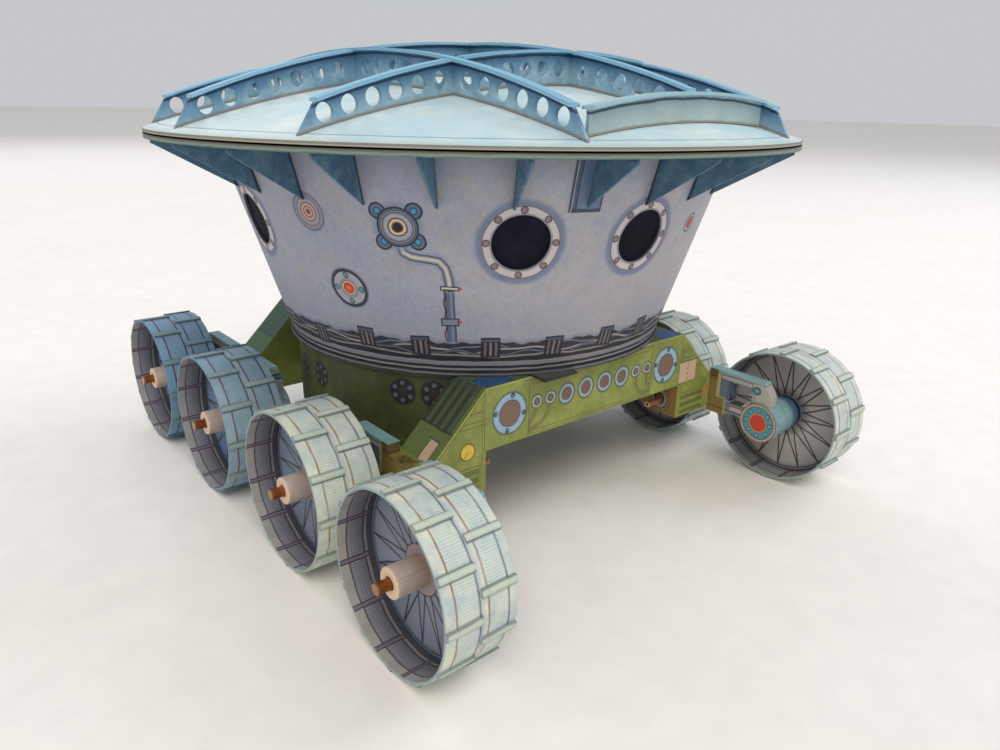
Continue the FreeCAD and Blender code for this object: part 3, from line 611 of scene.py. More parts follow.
# a beam's outline, and what is printed on its face: rings with their tints, widest first, and their stems
beamInk = "5a4f33"
beamLook = {"top": 34.3, "corner": 27.6, "fall": 0.9829, "legInner": (27.3, 27.5), "legOuter": 39.25,
            "archTop": 22.35}
beamRings = (
    {"middles": (-22.0, 22.2), "height": 28.3, "hooked": True,
     "layers": ((4.25, "6d7842"), (4.0, "46524c"), (3.82, "8fb0c3"), (2.6, "574943"), (2.42, "7b6254"))},
    {"middles": (-15.4, -12.0, 12.3, 15.9), "height": 29.0, "hooked": False,
     "layers": ((1.55, "6d7842"), (1.4, "4a4a44"), (1.2, "a9b3ae"), (0.82, "5e5148"), (0.45, "766a62"))},
    {"middles": (-7.7, -2.5, 2.8, 8.0), "height": 28.8, "hooked": False,
     "layers": ((2.4, "6d7842"), (2.15, "454a4c"), (1.95, "93aab2"), (1.36, "5a4840"), (1.2, "775c4e"))})
beamStems = (((-15.7, 27.6), (-16.2, 26.2), (-17.2, 25.0)),
             ((-12.2, 27.6), (-12.6, 26.2), (-13.8, 24.8), (-15.4, 24.1), (-17.2, 23.8)),
             ((12.4, 27.6), (12.7, 25.8), (13.8, 24.2), (15.5, 23.5), (17.2, 23.7)),
             ((15.9, 27.6), (16.0, 25.8), (17.2, 24.7)))
beamCoil = {"height": 18.0, "layers": ((3.1, "5a4226"), (2.85, "b08a58"), (2.6, "3a3330"), (2.3, "7d8288"),
                                       (1.7, "b39a78"), (1.5, "2c2624"), (1.0, "7a4a30"))}
beamDial = {"x": -31.6, "z": 23.3}
facePlate = {"x": 30.45, "z": 25.15, "halfWide": 3.0, "halfTall": 2.4, "edge": 0.15}
slopePlate = {"y": -37.1, "z": 24.3, "halfWide": 1.18, "halfTall": 1.42, "edge": 0.18}
# lines of the panels, as heights and as distances from the model's middle
beamLines = {"bands": ((32.65, 32.8), (33.45, 33.6), (22.75, 22.9), (23.3, 23.45)), "bandEnd": 17.2,
             "sides": ((17.3, 17.5), (27.7, 27.9)), "sidesFoot": 22.3, "corner": 27.75,
             "shelves": ((30.06, 30.24), (28.51, 28.69), (27.61, 27.79)),
             "louvres": ((18.6, 19.5), (16.9, 17.8), (15.2, 16.0)), "louvreSpan": (28.9, 37.0),
             "frames": ((19.05, 0.38, 0.5), (17.35, 0.38, 0.5), (15.6, 0.36, 0.48)),
             "frameSpan": (28.7, 38.2)}


def slopeRise(x, z):
    # height over the line of a beam's sloping end
    return z - (beamLook["top"] - (x - beamLook["corner"]) * beamLook["fall"])


def paintBeamRings(card):
    for group in beamRings:
        for x in group["middles"]:
            away, around = card.polar(card.x - x, card.z - group["height"])
            card.rings(away, *group["layers"])
            if group["hooked"]:
                card.paint(away.within(3.15, 3.3), "b5ccd4", 0.5)
                hook = (around - 80).fold(45) * math.radians(3.2)
                curl = card.reach(hook, away - 3.35)
                card.paint(curl.below(0.52), "24363c", 0.85)
                card.paint(curl.below(0.22), "7fa0b0", 0.8)
                card.paint(hook.below(0.16) * away.within(3.3, 3.9), "24363c", 0.8)
    stretches = [pair for stem in beamStems for pair in zip(stem, stem[1:])]
    stem = card.nearestRun(card.x, card.z, stretches)
    card.paint(stem.below(0.38), beamInk, 0.8)
    card.paint(stem.below(0.16), "8f8a50", 0.7)


def paintBeamPanels(card, face, width, rise):
    lines = beamLines
    corner = width.above(lines["corner"])
    ruled = card.strips(card.z, *lines["bands"]) * width.below(lines["bandEnd"])
    ruled = ruled.most(card.strips(width, *lines["sides"]) * card.z.above(lines["sidesFoot"]))
    ruled = ruled.most(width.within(28.25, 28.4) * card.z.within(19.6, 32.0))
    ruled = ruled.most(abs(rise + 0.75).below(0.1) * corner)
    ruled = ruled.most(card.strips(card.z, *lines["shelves"]) * corner * rise.below(-0.7))
    ruled = ruled.most(card.z.within(20.0, 20.2) * width.within(28.7, 38.4))
    ruled = ruled.most(width.within(28.6, 28.75) * card.z.within(19.6, 20.1))
    card.paint(face * ruled, beamInk, 0.8)
    louvres = card.strips(card.z, *lines["louvres"]) * width.within(*lines["louvreSpan"])
    card.paint(face * louvres, "59662f", 0.8)
    for middle, inner, outer in lines["frames"]:
        outline = abs(card.z - middle).within(inner, outer) * width.within(*lines["frameSpan"])
        card.paint(face * outline, beamInk, 0.8)
    card.paint(face * card.x.within(37.3, 38.05) * card.z.within(17.4, 20.4), "cf7434", 0.9)
    # pale edges of the face
    card.paint(face * abs(rise + 0.2).below(0.16) * corner, "b0b56a", 0.7)
    card.paint(face * card.z.above(beamLook["top"] - 0.25) * width.below(beamLook["corner"]), "b0b56a", 0.6)
    card.paint(face * width.above(38.9), "a8ad60", 0.7)


def paintBeamDial(card, face):
    x, z = card.x - beamDial["x"], card.z - beamDial["z"]
    dial = card.reach(x, z)
    card.paint(face * dial.below(1.68, 0.12), "5a4a1c", 0.9)
    card.paint(face * dial.below(1.45, 0.1), "dcbb3f", 1)
    needle = abs(x * 0.86 - z * 0.5).below(0.09) * z.below(0.1)
    card.paint(face * dial.below(1.3) * needle, "5a4414", 0.9)


def paintFacePlate(card, face, rise):
    # blank plate in a dark edge, cut by the sloping end
    plate = facePlate
    x, z = card.x - plate["x"], card.z - plate["z"]
    edged = face * abs(x).below(plate["halfWide"] + plate["edge"], 0.1)
    edged = edged * abs(z).below(plate["halfTall"] + plate["edge"], 0.1) * rise.below(-0.25)
    card.paint(edged, "3f2f22", 0.8)
    inner = edged * abs(x).below(plate["halfWide"]) * abs(z).below(plate["halfTall"]) * rise.below(-0.4)
    card.paint(inner, "c7a98b", 0.97)
    dashes = card.z.fold(0.6).above(0.25)
    card.paint(inner * abs(x).below(0.1) * dashes, "3f2f22", 0.85)


def paintBeamSlopes(card, depth):
    # sloping ends: ribbed print above, a plain part with a blank plate below
    rise = slopeRise(abs(card.trueX), card.trueZ)
    slope = rise.above(-0.06, 0.03) * abs(card.trueX).above(27.65, 0.02)
    # the slopes are painted a darker green: their own green, darkened as painted shade
    card.paint(slope, "4c5c2c", 0.9)
    card.paint(slope * card.noise(3, detail=4).above(0.5, 0.3), "5b6a34", 0.5)
    ribbed = slope * card.z.above(27.3) * depth.below(beamFace - 0.9)
    between = (depth - 31.2).fold(1.05)
    card.paint(ribbed, "38432a", 0.85)
    card.paint(ribbed * between.below(0.45, 0.35), "23281f", 0.85)
    card.paint(ribbed * between.above(0.85, 0.25), "4b5a3c", 0.6)
    card.paint(ribbed * card.z.above(33.1), "3f4442", 0.5)
    card.paint(slope * card.z.within(27.2, 27.45), "1b2016", 0.85)
    card.paint(slope * depth.above(beamFace - 0.3), "6b6d2c", 0.8)
    # painted shade: the rear beam's slopes are painted darker
    card.paint(slope * card.trueY.above(0, 1), "2c6650", 0.45)
    plate = slopePlate
    y, z = abs(card.y - plate["y"]), abs(card.z - plate["z"])
    edged = slope * y.below(plate["halfWide"] + plate["edge"]) * z.below(plate["halfTall"] + plate["edge"])
    card.paint(edged, "33291c", 0.85)
    card.paint(slope * y.below(plate["halfWide"]) * z.below(plate["halfTall"]), "b99c82", 0.97)


def paintBeamTop(card, width, depth):
    top = card.trueZ.above(beamLook["top"] - 0.05, 0.03)
    # the top is painted a darker green: its own green, darkened as painted shade under the tub
    card.paint(top, "3d4b2e", 0.8)
    card.paint(top * width.within(20.8, 27.5) * depth.within(35.4, 39.9), "2d4f80", 0.95)
    corners = top * abs(width - 24.1).within(2.3, 3.0) * abs(depth - 37.6).within(1.4, 1.8)
    card.paint(corners, "0f1a28", 0.9)


def paintBeamLegs(card, depth):
    # inner sides of the legs carry a coil in rings, outer sides are ruled
    inner = abs(card.trueX).within(*beamLook["legInner"], 0.03) * card.trueZ.below(beamLook["archTop"], 0.03)
    card.paint(inner, "8a6a3c", 0.9)
    coil = card.reach(depth - beamOffset, card.z - beamCoil["height"])
    for reach, tint in beamCoil["layers"]:
        card.paint(inner * coil.below(reach, 0.12), tint)
    outer = abs(card.trueX).above(beamLook["legOuter"], 0.03)
    card.paint(outer, "8b9a4c", 0.6)
    card.paint(outer * card.z.fold(1.1).below(0.14) * depth.within(31.6, 39.2), beamInk, 0.6)


def beamFinish():
    card = Finish("oliveCard")
    card.wash(6, "7e863d", "929a49", 4)
    card.stains((10, "6c7f3d", 0.5, 0.45), (3, "a3a558", 0.4, 0.4), (1.8, "736d3b", 0.35, 0.4))
    width = abs(card.x)
    depth = abs(card.trueY)
    face = depth.above(beamFace - 0.05, 0.03)
    rise = slopeRise(width, card.z)
    paintBeamRings(card)
    paintBeamPanels(card, face, width, rise)
    paintBeamDial(card, face)
    paintFacePlate(card, face, rise)
    paintBeamSlopes(card, depth)
    paintBeamTop(card, width, depth)
    paintBeamLegs(card, depth)
    card.seal(0.6, 0.06)
    return card


def visorFinish():
    card = Finish("visorCard")
    card.wash(2, "4a4a46", "5e5c55", 3)
    slats = (card.x + card.y * 0.3).fold(0.45).below(0.12, 0.1)
    card.paint(slats, "24221f", 0.7)
    card.stain(0.9, "8a8678", 0.5, 0.35)
    rim = card.y.below(-43.55).most(card.x.below(-16.9)).most(card.x.above(-9.4))
    card.paint(rim, "22201d", 0.8)
    card.seal(0.55, 0.05)
    return card


def gridPiece(name, across, along, place, thickness, finish):
    # thin card: a grid with its corners placed by place(across, along), each from 0 to 1, then thickened
    shape = bmesh.new()
    made = bmesh.ops.create_grid(shape, x_segments=across, y_segments=along, size=0.5)["verts"]
    for vert in made:
        vert.co = place(vert.co.x + 0.5, vert.co.y + 0.5) / 1000
    bmesh.ops.solidify(shape, geom=shape.faces[:], thickness=thickness / 1000)
    newPiece(name, shape, finish, "chassis")


def buildVisor(finish):
    # thin printed card glued on the front beam, curling down a little ahead of it, in millimetres
    visor = {"right": -17.3, "left": -9.0, "rear": -37.6, "front": -43.9, "bend": -40.1, "seat": 34.32,
             "card": 0.3, "curl": 0.012}

    def place(across, along):
        x = visor["right"] + across * (visor["left"] - visor["right"])
        y = visor["front"] + along * (visor["rear"] - visor["front"])
        ahead = max(0.0, visor["bend"] - y)
        return Vector((x, y, visor["seat"] + visor["card"] - visor["curl"] * ahead ** 2))

    gridPiece("beam_visor", 8, 10, place, visor["card"], finish)


def stubFinish():
    card = Finish("stubPaper")
    card.wash(2, "8d5a3e", "a06b4a", 3)
    card.paint(abs(card.trueX).below(23.25, 0.05), "dcbf9c", 0.9)
    card.seal(0.65, 0.03)
    return card


def buildStubs(finish):
    # short rolled tubes on the inner sides of the legs, in metres
    stub = {"outside": 0.00068, "bore": 0.00036, "from": 0.0274, "to": 0.0231, "height": 0.0174,
            "rounding": 0.00008}
    shape = bmesh.new()
    for sign, beam in ((-1, -1), (-1, 1), (1, -1), (1, 1)):
        foot, mouth = sign * stub["from"], sign * stub["to"]
        tube = bmesh.new()
        turnedRing(tube, foot, mouth, stub["bore"], stub["outside"], 24)
        rounded(tube, mouthEdges(tube, mouth), stub["rounding"])
        bmesh.ops.translate(tube, vec=(0, beam * beamOffset / 1000, stub["height"]), verts=tube.verts)
        loose = bpy.data.meshes.new("stub")
        tube.to_mesh(loose)
        tube.free()
        shape.from_mesh(loose)
        bpy.data.meshes.remove(loose)
    newPiece("leg_stubs", shape, finish, "chassis")


dress(motorFinish(), "motor_housings_right", "motor_housings_left")
dress(armFinish(), *[f"arm_{name}" for name in wheelNames])
dress(beamFinish(), "beam_front", "beam_rear")
buildVisor(visorFinish())
buildStubs(stubFinish())
print("running gear done")


# drum and base plate
# round vents on the drum's wall, given as turn and height, and repeated half a turn further on
drumVents = {"wall": 39.5, "places": ((167.8, 28.0), (180.2, 28.7), (211.7, 29.9), (220.7, 30.0)), "bolts": 6,
             "boltCircle": 1.72}


def drumFinish():
    card = Finish("drumCard")
    # painted shade: the drum's olive is washed far darker than its lit green, as it stands in the tub's shade
    card.wash(8, "3f4725", "4d552c", 3)
    card.stain(9, "2d3820", 0.5, 0.45)
    card.stain(3, "63652f", 0.4, 0.4)
    side = card.trueZ.above(18.75, 0.03)
    card.paint(side * card.strips(card.z, (19.2, 19.5), (33.0, 33.3)), "3b2f22", 0.8)
    card.paint(side * card.z.within(19.8, 20.05), "6f7440", 0.7)
    places = drumVents["places"] + tuple((turn + 180, height) for turn, height in drumVents["places"])
    for turn, height in places:
        x, y = onCircle(drumVents["wall"], turn)
        middle = Vector((x, tubAxis + y, height))
        card.rings(card.near(middle), (2.75, "33321f"), (2.45, "201e20"), (1.0, "302a28"))
        sideways = onCircle(1, turn + 90).to_3d()
        for number in range(drumVents["bolts"]):
            across, up = onCircle(drumVents["boltCircle"], 360 / drumVents["bolts"] * (number + 0.5))
            bolt = middle + sideways * across + Vector((0, 0, up))
            card.paint(card.near(bolt).below(0.46, 0.15), "5d6470", 0.9)
    card.seal(0.6, 0.06)
    return card


def baseFinish():
    card = Finish("baseCard")
    card.wash(5, "26262b", "3a3a40", 3)
    card.paint(card.z.within(34.6, 34.85), "8d8f96", 0.6)
    card.seal(0.6, 0.05)
    return card


dress(drumFinish(), "drum")
dress(baseFinish(), "base_plate")
print("drum done")


# tub with its printed ports, valve and pipe, places given as turn and height on the wall
tub["stretch"] = math.hypot(1, tub["lean"])
ports = {"turns": (240.2, 267.5, 173.5, 6.5), "height": 59.5, "boltCircle": 5.76, "bolts": 8,
         "layers": ((7.5, 0.8, "5d7196", 0.75), (6.5, 0.12, "7a5852", 0.9), (6.32, 0.12, "cac5c5", 0.97),
                    (5.22, 0.12, "87868f", 0.9))}
vent = {"place": (197.0, 63.0),
        "layers": ((3.7, "8f93ab"), (3.35, "5d5f75"), (3.1, "8c8a97"), (2.6, "6f6472"), (2.4, "9a949e"),
                   (1.75, "84504a"), (1.5, "c4aea6"), (1.15, "94463a"), (0.9, "b8a19a"), (0.5, "8a3c32"))}
cap = {"place": (202.5, 49.9), "boltCircle": 2.55, "bolts": 4,
       "layers": ((4.0, "767c90"), (3.72, "2b2e3a"), (3.15, "a4a4ac"), (2.0, "8d8d97"), (1.48, "6d4034"),
                  (1.36, "dcc5b0"), (1.14, "8a3a28"), (0.96, "d2452a"))}
sideLamp = {"place": (286.0, 60.5),
            "layers": ((1.95, "5d5c6c"), (1.6, "b0a8a8"), (1.15, "7a3a30"), (0.85, "b8503c"))}
valve = {"place": (216.7, 61.7), "lobes": ((213.1, 64.2), (220.1, 64.4), (213.5, 59.1), (220.4, 59.4)),
         "lobeLayers": ((1.5, "252d3a"), (1.16, "5c6f8a"), (0.66, "2b3f58"), (0.46, "4595bb")),
         "layers": ((3.55, "27303f"), (3.2, "5a6c8a"), (2.95, "2f3a4e"), (2.82, "b39c7a"), (2.68, "3a4560"),
                    (2.5, "7f86a0"), (2.3, "a3a5b5"), (1.7, "5a4038"), (1.56, "7a3a22"), (1.42, "d9c9a6"),
                    (1.02, "7a5236"), (0.82, "2a211f"), (0.66, "14121a"))}
pipe = {"bends": ((216.9, 58.4), (217.2, 57.4), (218.7, 56.8), (221.9, 56.5), (224.1, 56.2), (225.5, 55.0),
                  (226.0, 53.0), (226.2, 51.5)),
        "layers": ((0.76, "2f384a", 0.95), (0.56, "8b919f", 0.9), (0.27, "cdc6b8", 0.95)),
        "clamps": ((226.15, 51.4, 0.42, "d8cdb6"), (225.9, 45.1, 0.8, "7d8aa2")),
        "bandTurn": 226.1, "bandMiddle": 46.0, "band": (41.2, 51.2)}
# strips round the tub's foot: from, to, tint and strength; the wide black one low on the wall is painted
# shade
footStrips = ((37.25, 37.95, "16161d", 0.95), (36.4, 37.25, "85848c", 0.9), (36.72, 36.86, "6d5a56", 0.6),
              (34.0, 36.4, "15151a", 0.95), (35.4, 35.8, "9a9a9e", 0.8))
# cables round the tub's foot: height, rise, pace and start of each one's wave, and its tint
cables = ((40.2, 0.42, 0.62, 0.0, "6d7388"), (39.6, 0.5, 0.5, 2.2, "a79e98"), (39.0, 0.4, 0.7, 4.0, "5d6479"),
          (38.4, 0.18, 0.55, 1.2, "948c88"))
saddles = {"places": ((187.9, 39.1), (204.1, 40.6), (218.4, 40.1), (235.2, 40.1), (251.0, 39.9),
                      (266.4, 40.4), (280.4, 40.4)),
           "halfWide": 1.75, "halfTall": 2.1, "slots": (-1.7, 1.1), "lip": (1.3, 1.62)}


class Wall(Finish):
    # the tub's finish, drawn in lengths sideways and upwards along its cone
    def __init__(self, name):
        super().__init__(name)
        self.degrees = self.tubPlace()[1]
        self.wall = wallRadius(self.z)

    def beside(self, turn, height):
        sideways = (self.degrees - ((turn - 90) % 360 - 180)) * self.wall * math.radians(1)
        return sideways, (self.z - height) * tub["stretch"]

    def apart(self, turn, height):
        return self.reach(*self.beside(turn, height))


def paintPorts(card):
    for turn in ports["turns"]:
        away, around = card.polar(*card.beside(turn, ports["height"]))
        for reach, soft, tint, strength in ports["layers"]:
            card.paint(away.below(reach, soft), tint, strength)
        bolt = card.bolts(away, around, ports["boltCircle"], 180 / ports["bolts"])
        card.rings(bolt, (0.66, "57484c"), (0.44, "8d7c7c"))


def paintFittings(card):
    card.rings(card.apart(*vent["place"]), *vent["layers"])
    away, around = card.polar(*card.beside(*cap["place"]))
    card.rings(away, *cap["layers"])
    card.paint(away.below(0.4, 0.3), "e8795a", 0.8)
    bolt = card.bolts(away, around, cap["boltCircle"], 180 / cap["bolts"])
    card.rings(bolt, (0.6, "33414d"), (0.42, "5f8f9b"))
    card.rings(card.apart(*sideLamp["place"]), *sideLamp["layers"])


def paintPipe(card):
    # pipe from the valve, and the band that it ends in
    sideways, up = card.beside(pipe["bandTurn"], pipe["bandMiddle"])
    tall = card.z.within(*pipe["band"])
    band = abs(sideways + up * 0.015).below(0.82, 0.12) * tall
    card.paint(band, "2c3649", 0.9)
    card.paint(band * abs(sideways).below(0.6), "5a6c85", 0.9)
    card.paint(band * abs(sideways - 0.2).below(0.16), "8795a8", 0.7)
    wave = sideways + 0.95 + (card.z * 2.1).sine() * 0.13
    card.paint(abs(wave).below(0.15) * tall, "2c2534", 0.9)
    card.paint(abs(wave + 0.26).below(0.1) * tall, "b08a8c", 0.7)
    nearest = None
    for (startTurn, startHeight), (endTurn, endHeight) in zip(pipe["bends"], pipe["bends"][1:]):
        reach = math.radians(endTurn - startTurn) * wallRadius(startHeight)
        end = (reach, (endHeight - startHeight) * tub["stretch"])
        distance = card.flatRun(*card.beside(startTurn, startHeight), (0, 0), end)
        nearest = distance if nearest is None else nearest.least(distance)
    card.paint(nearest.below(1.15, 0.5), "7f8ca6", 0.6)
    for half, tint, strength in pipe["layers"]:
        card.paint(nearest.below(half), tint, strength)


def paintValve(card):
    body = card.apart(*valve["place"])
    card.paint(body.below(4.3, 0.8), "7586a4", 0.6)
    for lobe in valve["lobes"]:
        card.rings(card.apart(*lobe), *valve["lobeLayers"])
    card.rings(body, *valve["layers"])
    for turn, height, tall, tint in pipe["clamps"]:
        sideways, up = card.beside(turn, height)
        card.paint(abs(sideways).below(1.6) * abs(up).below(tall), "20242f", 0.95)
        card.paint(abs(sideways).below(1.35) * abs(up).below(tall - 0.24), tint, 0.9)
        card.paint(card.reach(sideways - 1.78, up).below(0.27), "c0422c", 0.95)


def paintFoot(card):
    # bundle of cables round the foot, held by small saddles, over the foot's dark edge
    swing = card.degrees * 0.5
    edge = card.z + (swing * 1.3).sine() * 0.18 + (swing * 3.1).sine() * 0.12
    bundle = edge.within(37.6, 41.0, 0.12)
    card.paint(edge.within(37.6, 41.6, 0.8), "6a7089", 0.55)
    card.paint(bundle, "20222e", 0.95)
    for height, rise, pace, start, tint in cables:
        slow = (swing * pace + start).sine() * rise
        quick = (swing * pace * 2.3 + start).sine() * (rise * 0.35)
        level = card.z - slow - quick
        card.paint(abs(level - height).below(0.32) * bundle, "181a24", 0.9)
        card.paint(abs(level - height).below(0.17) * bundle, tint, 0.9)
    # the foot's strips, the wide black one being painted shade
    for low, high, tint, strength in footStrips:
        card.paint(card.z.within(low, high), tint, strength)
    for turn, height in saddles["places"]:
        sideways, up = card.beside(turn, height)
        sideways = abs(sideways)
        card.paint(sideways.below(saddles["halfWide"]) * abs(up).below(saddles["halfTall"]), "1f202c", 0.95)
        upright = up.within(*saddles["slots"])
        card.paint(sideways.fold(0.95).above(0.76) * sideways.below(1.5) * upright, "786b6c", 0.85)
        card.paint(sideways.below(0.19) * upright, "8d817e", 0.85)
        card.paint(sideways.below(1.5) * up.within(*saddles["lip"]), "56627c", 0.85)


def tubFinish():
    card = Wall("tubCard")
    card.wash(7, "a6a8b4", "b5b2b7", 3)
    card.stains((14, "8b9bb7", 0.45, 0.45), (5, "b3aaa2", 0.55, 0.42), (3, "8797b6", 0.35, 0.4),
                (1.2, "8292b2", 0.42, 0.42), (0.7, "cbc7c4", 0.3, 0.4))
    # painted light and shade: warmer and lighter low on the front and the left side, bluer and darker round
    # the right side; the wall is also darker towards its foot and towards the deck
    card.paint(card.degrees.above(-25, 50) * card.z.below(58, 16), "b5a897", 0.32)
    card.paint(card.degrees.below(-45, 40), "6f7a98", 0.22)
    card.paint(card.z.below(47, 9), "858a9e", 0.4)
    card.paint(card.z.above(70.5, 4), "7e8798", 0.5)
    paintPorts(card)
    paintFittings(card)
    paintPipe(card)
    paintValve(card)
    paintFoot(card)
    card.paint(card.degrees.within(-21.6, -15.0, 0.1) * card.z.above(64.4), "3a425c", 0.7)  # behind the tab
    # painted shade: the inside of the wall is painted dark slate
    outside = (card.tubPlace(True)[0] - wallRadius(card.trueZ)).above(-0.2, 0.1)
    card.paint(1 - outside, "3b3f48", 0.92)
    card.seal(0.64, 0.07)
    return card


def paneFinish():
    film = Finish("darkFilm")
    film.wash(4, "12121b", "1a1a28", 3)
    film.stain(6, "22243a", 0.5, 0.45)
    film.seal(0.8, 0.012, 0.05)
    film.surface.inputs["Specular IOR Level"].default_value = 0.12
    return film


def buildTab(finish):
    # small card tab glued on the wall under the deck, beside a gusset, in degrees and millimetres
    tab = {"start": 248.7, "end": 254.8, "low": 64.8, "high": 73.4, "card": 0.3, "lift": 0.02}

    def place(across, along):
        turn = tab["start"] + across * (tab["end"] - tab["start"])
        return offWall(turn, tab["low"] + along * (tab["high"] - tab["low"]), tab["lift"] + tab["card"])

    gridPiece("wall_tab", 8, 4, place, tab["card"], finish)


def tabFinish():
    card = Finish("tabCard")
    card.wash(3, "556a8c", "6a7b9a", 3)
    card.stain(2, "7f8cab", 0.35, 0.4)
    turn = card.tubPlace()[1] + 270
    card.paint(turn.below(249.6, 0.15), "46536f", 0.8)
    line = turn.within(249.5, 249.75).most(turn.above(254.5, 0.15)).most(card.z.below(65.1))
    card.paint(line, "262c42", 0.8)
    card.paint(turn.below(248.85, 0.1), "b8b6bd", 0.8)
    card.seal(0.6, 0.05)
    return card


dress(tubFinish(), "tub_shell")
dress(paneFinish(), "port_panes")
buildTab(tabFinish())
print("tub done")


# deck, lid and ribs
lidHigh = 1000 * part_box("lid_plate")[1]
lid = {"edgeRadius": lidHigh.x, "rise": 10.3, "top": lidHigh.z}
crest = {"footRadius": 63.2, "over": 6.4, "footRise": 4.0}


def capRadius(reach, rise):
    # radius of a ball that rises so much over a circle of that reach
    return (reach ** 2 + rise ** 2) / (2 * rise)


# the lid's outside, and the line along the ribs' upper edges, are parts of two balls
lidBall = capRadius(lid["edgeRadius"], lid["rise"])
lidMiddle = (0, tubAxis, lid["top"] - lidBall)
lidDrop = lidBall - math.sqrt(lidBall ** 2 - crest["footRadius"] ** 2)
crestBall = capRadius(crest["footRadius"], lidDrop + crest["over"] - crest["footRise"])
crestMiddle = (0, tubAxis, lid["top"] + crest["over"] - crestBall)


def gussetFinish():
    card = Finish("gussetCard")
    card.wash(4, "3f6884", "577b92", 4)
    card.stains((5, "2a5f88", 0.5, 0.45), (3, "4e6378", 0.5, 0.45), (1.8, "83a5b0", 0.45, 0.42),
                (0.9, "2f5575", 0.35, 0.4))
    # dark where a gusset meets the wall, a dark joint with painted shade; darker towards the top, under the
    # deck
    card.paint((card.tubPlace()[0] - wallRadius(card.z)).below(0.5, 0.3), "23283c", 0.85)
    card.paint(card.z.above(73.2, 0.3), "2a3346", 0.6)
    card.seal(0.6, 0.05)
    return card


def deckFinish():
    card = Finish("deckCard")
    card.wash(5, "62837f", "71897d", 3)
    card.stain(6, "4f7486", 0.45, 0.45)
    rim = card.tubPlace(True)[0].above(lid["edgeRadius"] - 0.08, 0.03)
    card.paint(rim, "748a7c", 0.8)
    card.paint(rim * card.z.above(74.1, 0.12), "5a3c26", 0.6)
    card.paint(rim * card.z.below(73.75), "3d4a4c", 0.6)
    # painted shade: the deck's top round the lid is painted dark brown
    card.paint(card.trueZ.above(74.27, 0.03), "4a4034", 0.85)
    card.seal(0.6, 0.06)
    return card


def lidFinish():
    card = Finish("lidCard")
    card.wash(9, "c3d8dd", "d5e4e3", 3)
    card.stains((16, "a2cfdd", 0.6, 0.45), (5, "dfe4d8", 0.4, 0.4), (2.5, "a3c2d0", 0.3, 0.4),
                (1.1, "b9ced6", 0.3, 0.4))
    radius = card.tubPlace()[0]
    card.paint(radius.within(62.0, 62.25, 0.12), "5a5046", 0.7)
    card.paint(radius.above(63.6, 1.2), "adbcad", 0.5)
    card.paint(card.tubPlace(True)[0].above(lid["edgeRadius"] - 0.12, 0.03), "6b5f4e", 0.8)
    under = card.near(lidMiddle, card.spot).below(lidBall - 0.3, 0.05)
    card.paint(under, "a9a59a", 0.8)
    card.seal(0.6, 0.07)
    return card


# tints of the long ribs and of the short one, with the strength of their stains; the darker web below the cap
# is painted shade, the pale edge and crest a painted highlight on the cap
longLook = {"wash": ("83a7ba", "a0becb"), "blue": 0.55, "pale": "a9c2ca", "dark": 0.3,
            "upperShade": ("2f6690", 0.72), "edge": "8fc0d8", "crest": "74a9c8"}
shortLook = {"wash": ("b0c0bc", "a0b8b8"), "blue": 0.2, "pale": "b8b4a6", "dark": 0.12,
             "upperShade": ("6f93a2", 0.45), "edge": "a6c8d2", "crest": "8fb6c4"}


def ribFinish(name, look):
    card = Finish(name)
    card.wash(6, *look["wash"], 3)
    card.stains((8, "4d82a6", look["blue"], 0.45), (3, look["pale"], 0.35, 0.4),
                (1.3, "44708f", look["dark"], 0.4))
    rise = card.near(lidMiddle) - lidBall
    depth = crestBall - card.near(crestMiddle)
    # painted shade: the web turns darker blue towards the cap
    card.paint(depth.below(2.3, 2.4), *look["upperShade"])
    card.paint(depth.within(0.66, 1.02), "17304c", 0.9)
    # painted highlight on the cap's edge and crest, in pale cyan
    card.paint(depth.below(0.46, 0.1), look["edge"], 0.92)
    card.paint(depth.below(0.12, 0.12), look["crest"], 0.7)
    card.paint(rise.below(0.45, 0.12), "8a7a64", 0.75)
    card.seal(0.58, 0.05)
    return card


def wireFinish():
    metal = Finish("hingeWire")
    metal.wash(1.5, "8f9398", "6d7278", 3)
    metal.seal(0.35, 0.02)
    metal.surface.inputs["Metallic"].default_value = 0.8
    return metal


longRibs = [name for name in nodes if name.startswith("lid_rib") and "short" not in name]
dress(gussetFinish(), "deck_gussets")
dress(deckFinish(), "deck_plate")
dress(lidFinish(), "lid_plate")
dress(ribFinish("ribCard", longLook), *longRibs)
dress(ribFinish("shortRibCard", shortLook), "lid_rib_short")
dress(wireFinish(), "hinge_wire")
print("deck and lid done")


# floor, light and camera
def floorFinish():
    floor = Finish("floorPaper")
    floor.wash(60, "f4efe9", "f8f4ef", 2)
    floor.seal(0.8, 0.03, 0.03)
    return floor


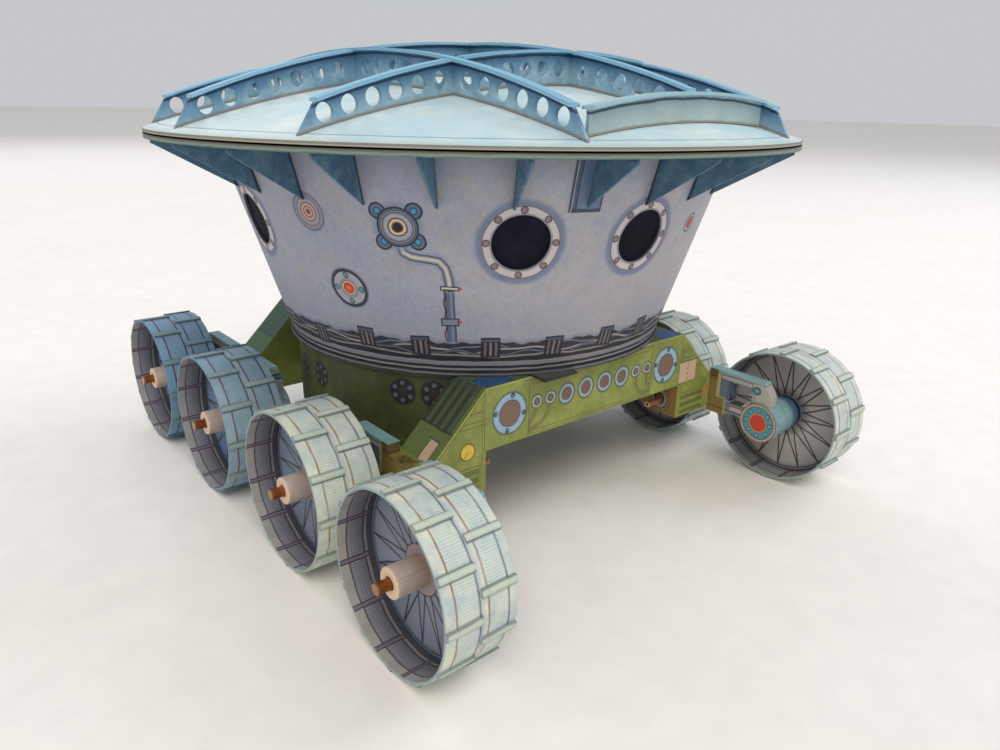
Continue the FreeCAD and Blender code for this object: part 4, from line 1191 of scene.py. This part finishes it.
def buildFloor():
    shape = bmesh.new()
    bmesh.ops.create_grid(shape, x_segments=1, y_segments=1, size=6)
    mesh = bpy.data.meshes.new("floor")
    shape.to_mesh(mesh)
    shape.free()
    floor = bpy.data.objects.new("floor", mesh)
    bpy.context.scene.collection.objects.link(floor)
    mesh.materials.append(floorFinish().material)


def buildLight():
    world = bpy.data.worlds.new("studio")
    bpy.context.scene.world = world
    world.use_nodes = True
    tree = world.node_tree
    light = tree.nodes["Background"]
    light.inputs[0].default_value = linear("f4f6fa")
    light.inputs[1].default_value = 0.62
    lamps = (("key", (-0.55, -0.75, 1.15), 0.9, 9.0, "fff6ea"),
             ("fill", (0.95, -0.35, 0.8), 0.8, 4.5, "eef3ff"),
             ("back", (0.1, 1.1, 0.9), 0.9, 4.0, "f4f6ff"))
    for name, place, size, power, tint in lamps:
        lamp = bpy.data.lights.new(name, "AREA")
        lamp.shape = "DISK"
        lamp.size = size
        lamp.energy = power
        lamp.color = linear(tint)[:3]
        holder = bpy.data.objects.new(name, lamp)
        holder.location = place
        aim = Vector((0, 0, 0.04)) - Vector(place)
        holder.rotation_euler = aim.to_track_quat("-Z", "Y").to_euler()
        bpy.context.scene.collection.objects.link(holder)


def buildCamera():
    view = {"place": (-0.1046, -0.1339, 0.0805), "turn": 0.7065, "tilt": -0.3454, "roll": 0.021,
            "lens": 27.16}
    ahead = Vector((math.sin(view["turn"]) * math.cos(view["tilt"]),
                    math.cos(view["turn"]) * math.cos(view["tilt"]), math.sin(view["tilt"])))
    across = Vector((math.cos(view["turn"]), -math.sin(view["turn"]), 0))
    upward = across.cross(ahead)
    rolled = math.cos(view["roll"]) * across + math.sin(view["roll"]) * upward
    raised = math.cos(view["roll"]) * upward - math.sin(view["roll"]) * across
    lens = bpy.data.cameras.new("camera")
    lens.lens = view["lens"]
    lens.sensor_width = 36
    lens.clip_start = 0.005
    camera = bpy.data.objects.new("camera", lens)
    facing = Matrix((rolled, raised, -ahead)).transposed().to_4x4()
    camera.matrix_world = Matrix.Translation(view["place"]) @ facing
    bpy.context.scene.collection.objects.link(camera)
    bpy.context.scene.camera = camera


buildFloor()
buildLight()
buildCamera()
bpy.context.scene.view_settings.view_transform = "Standard"
print("floor, light and camera done")
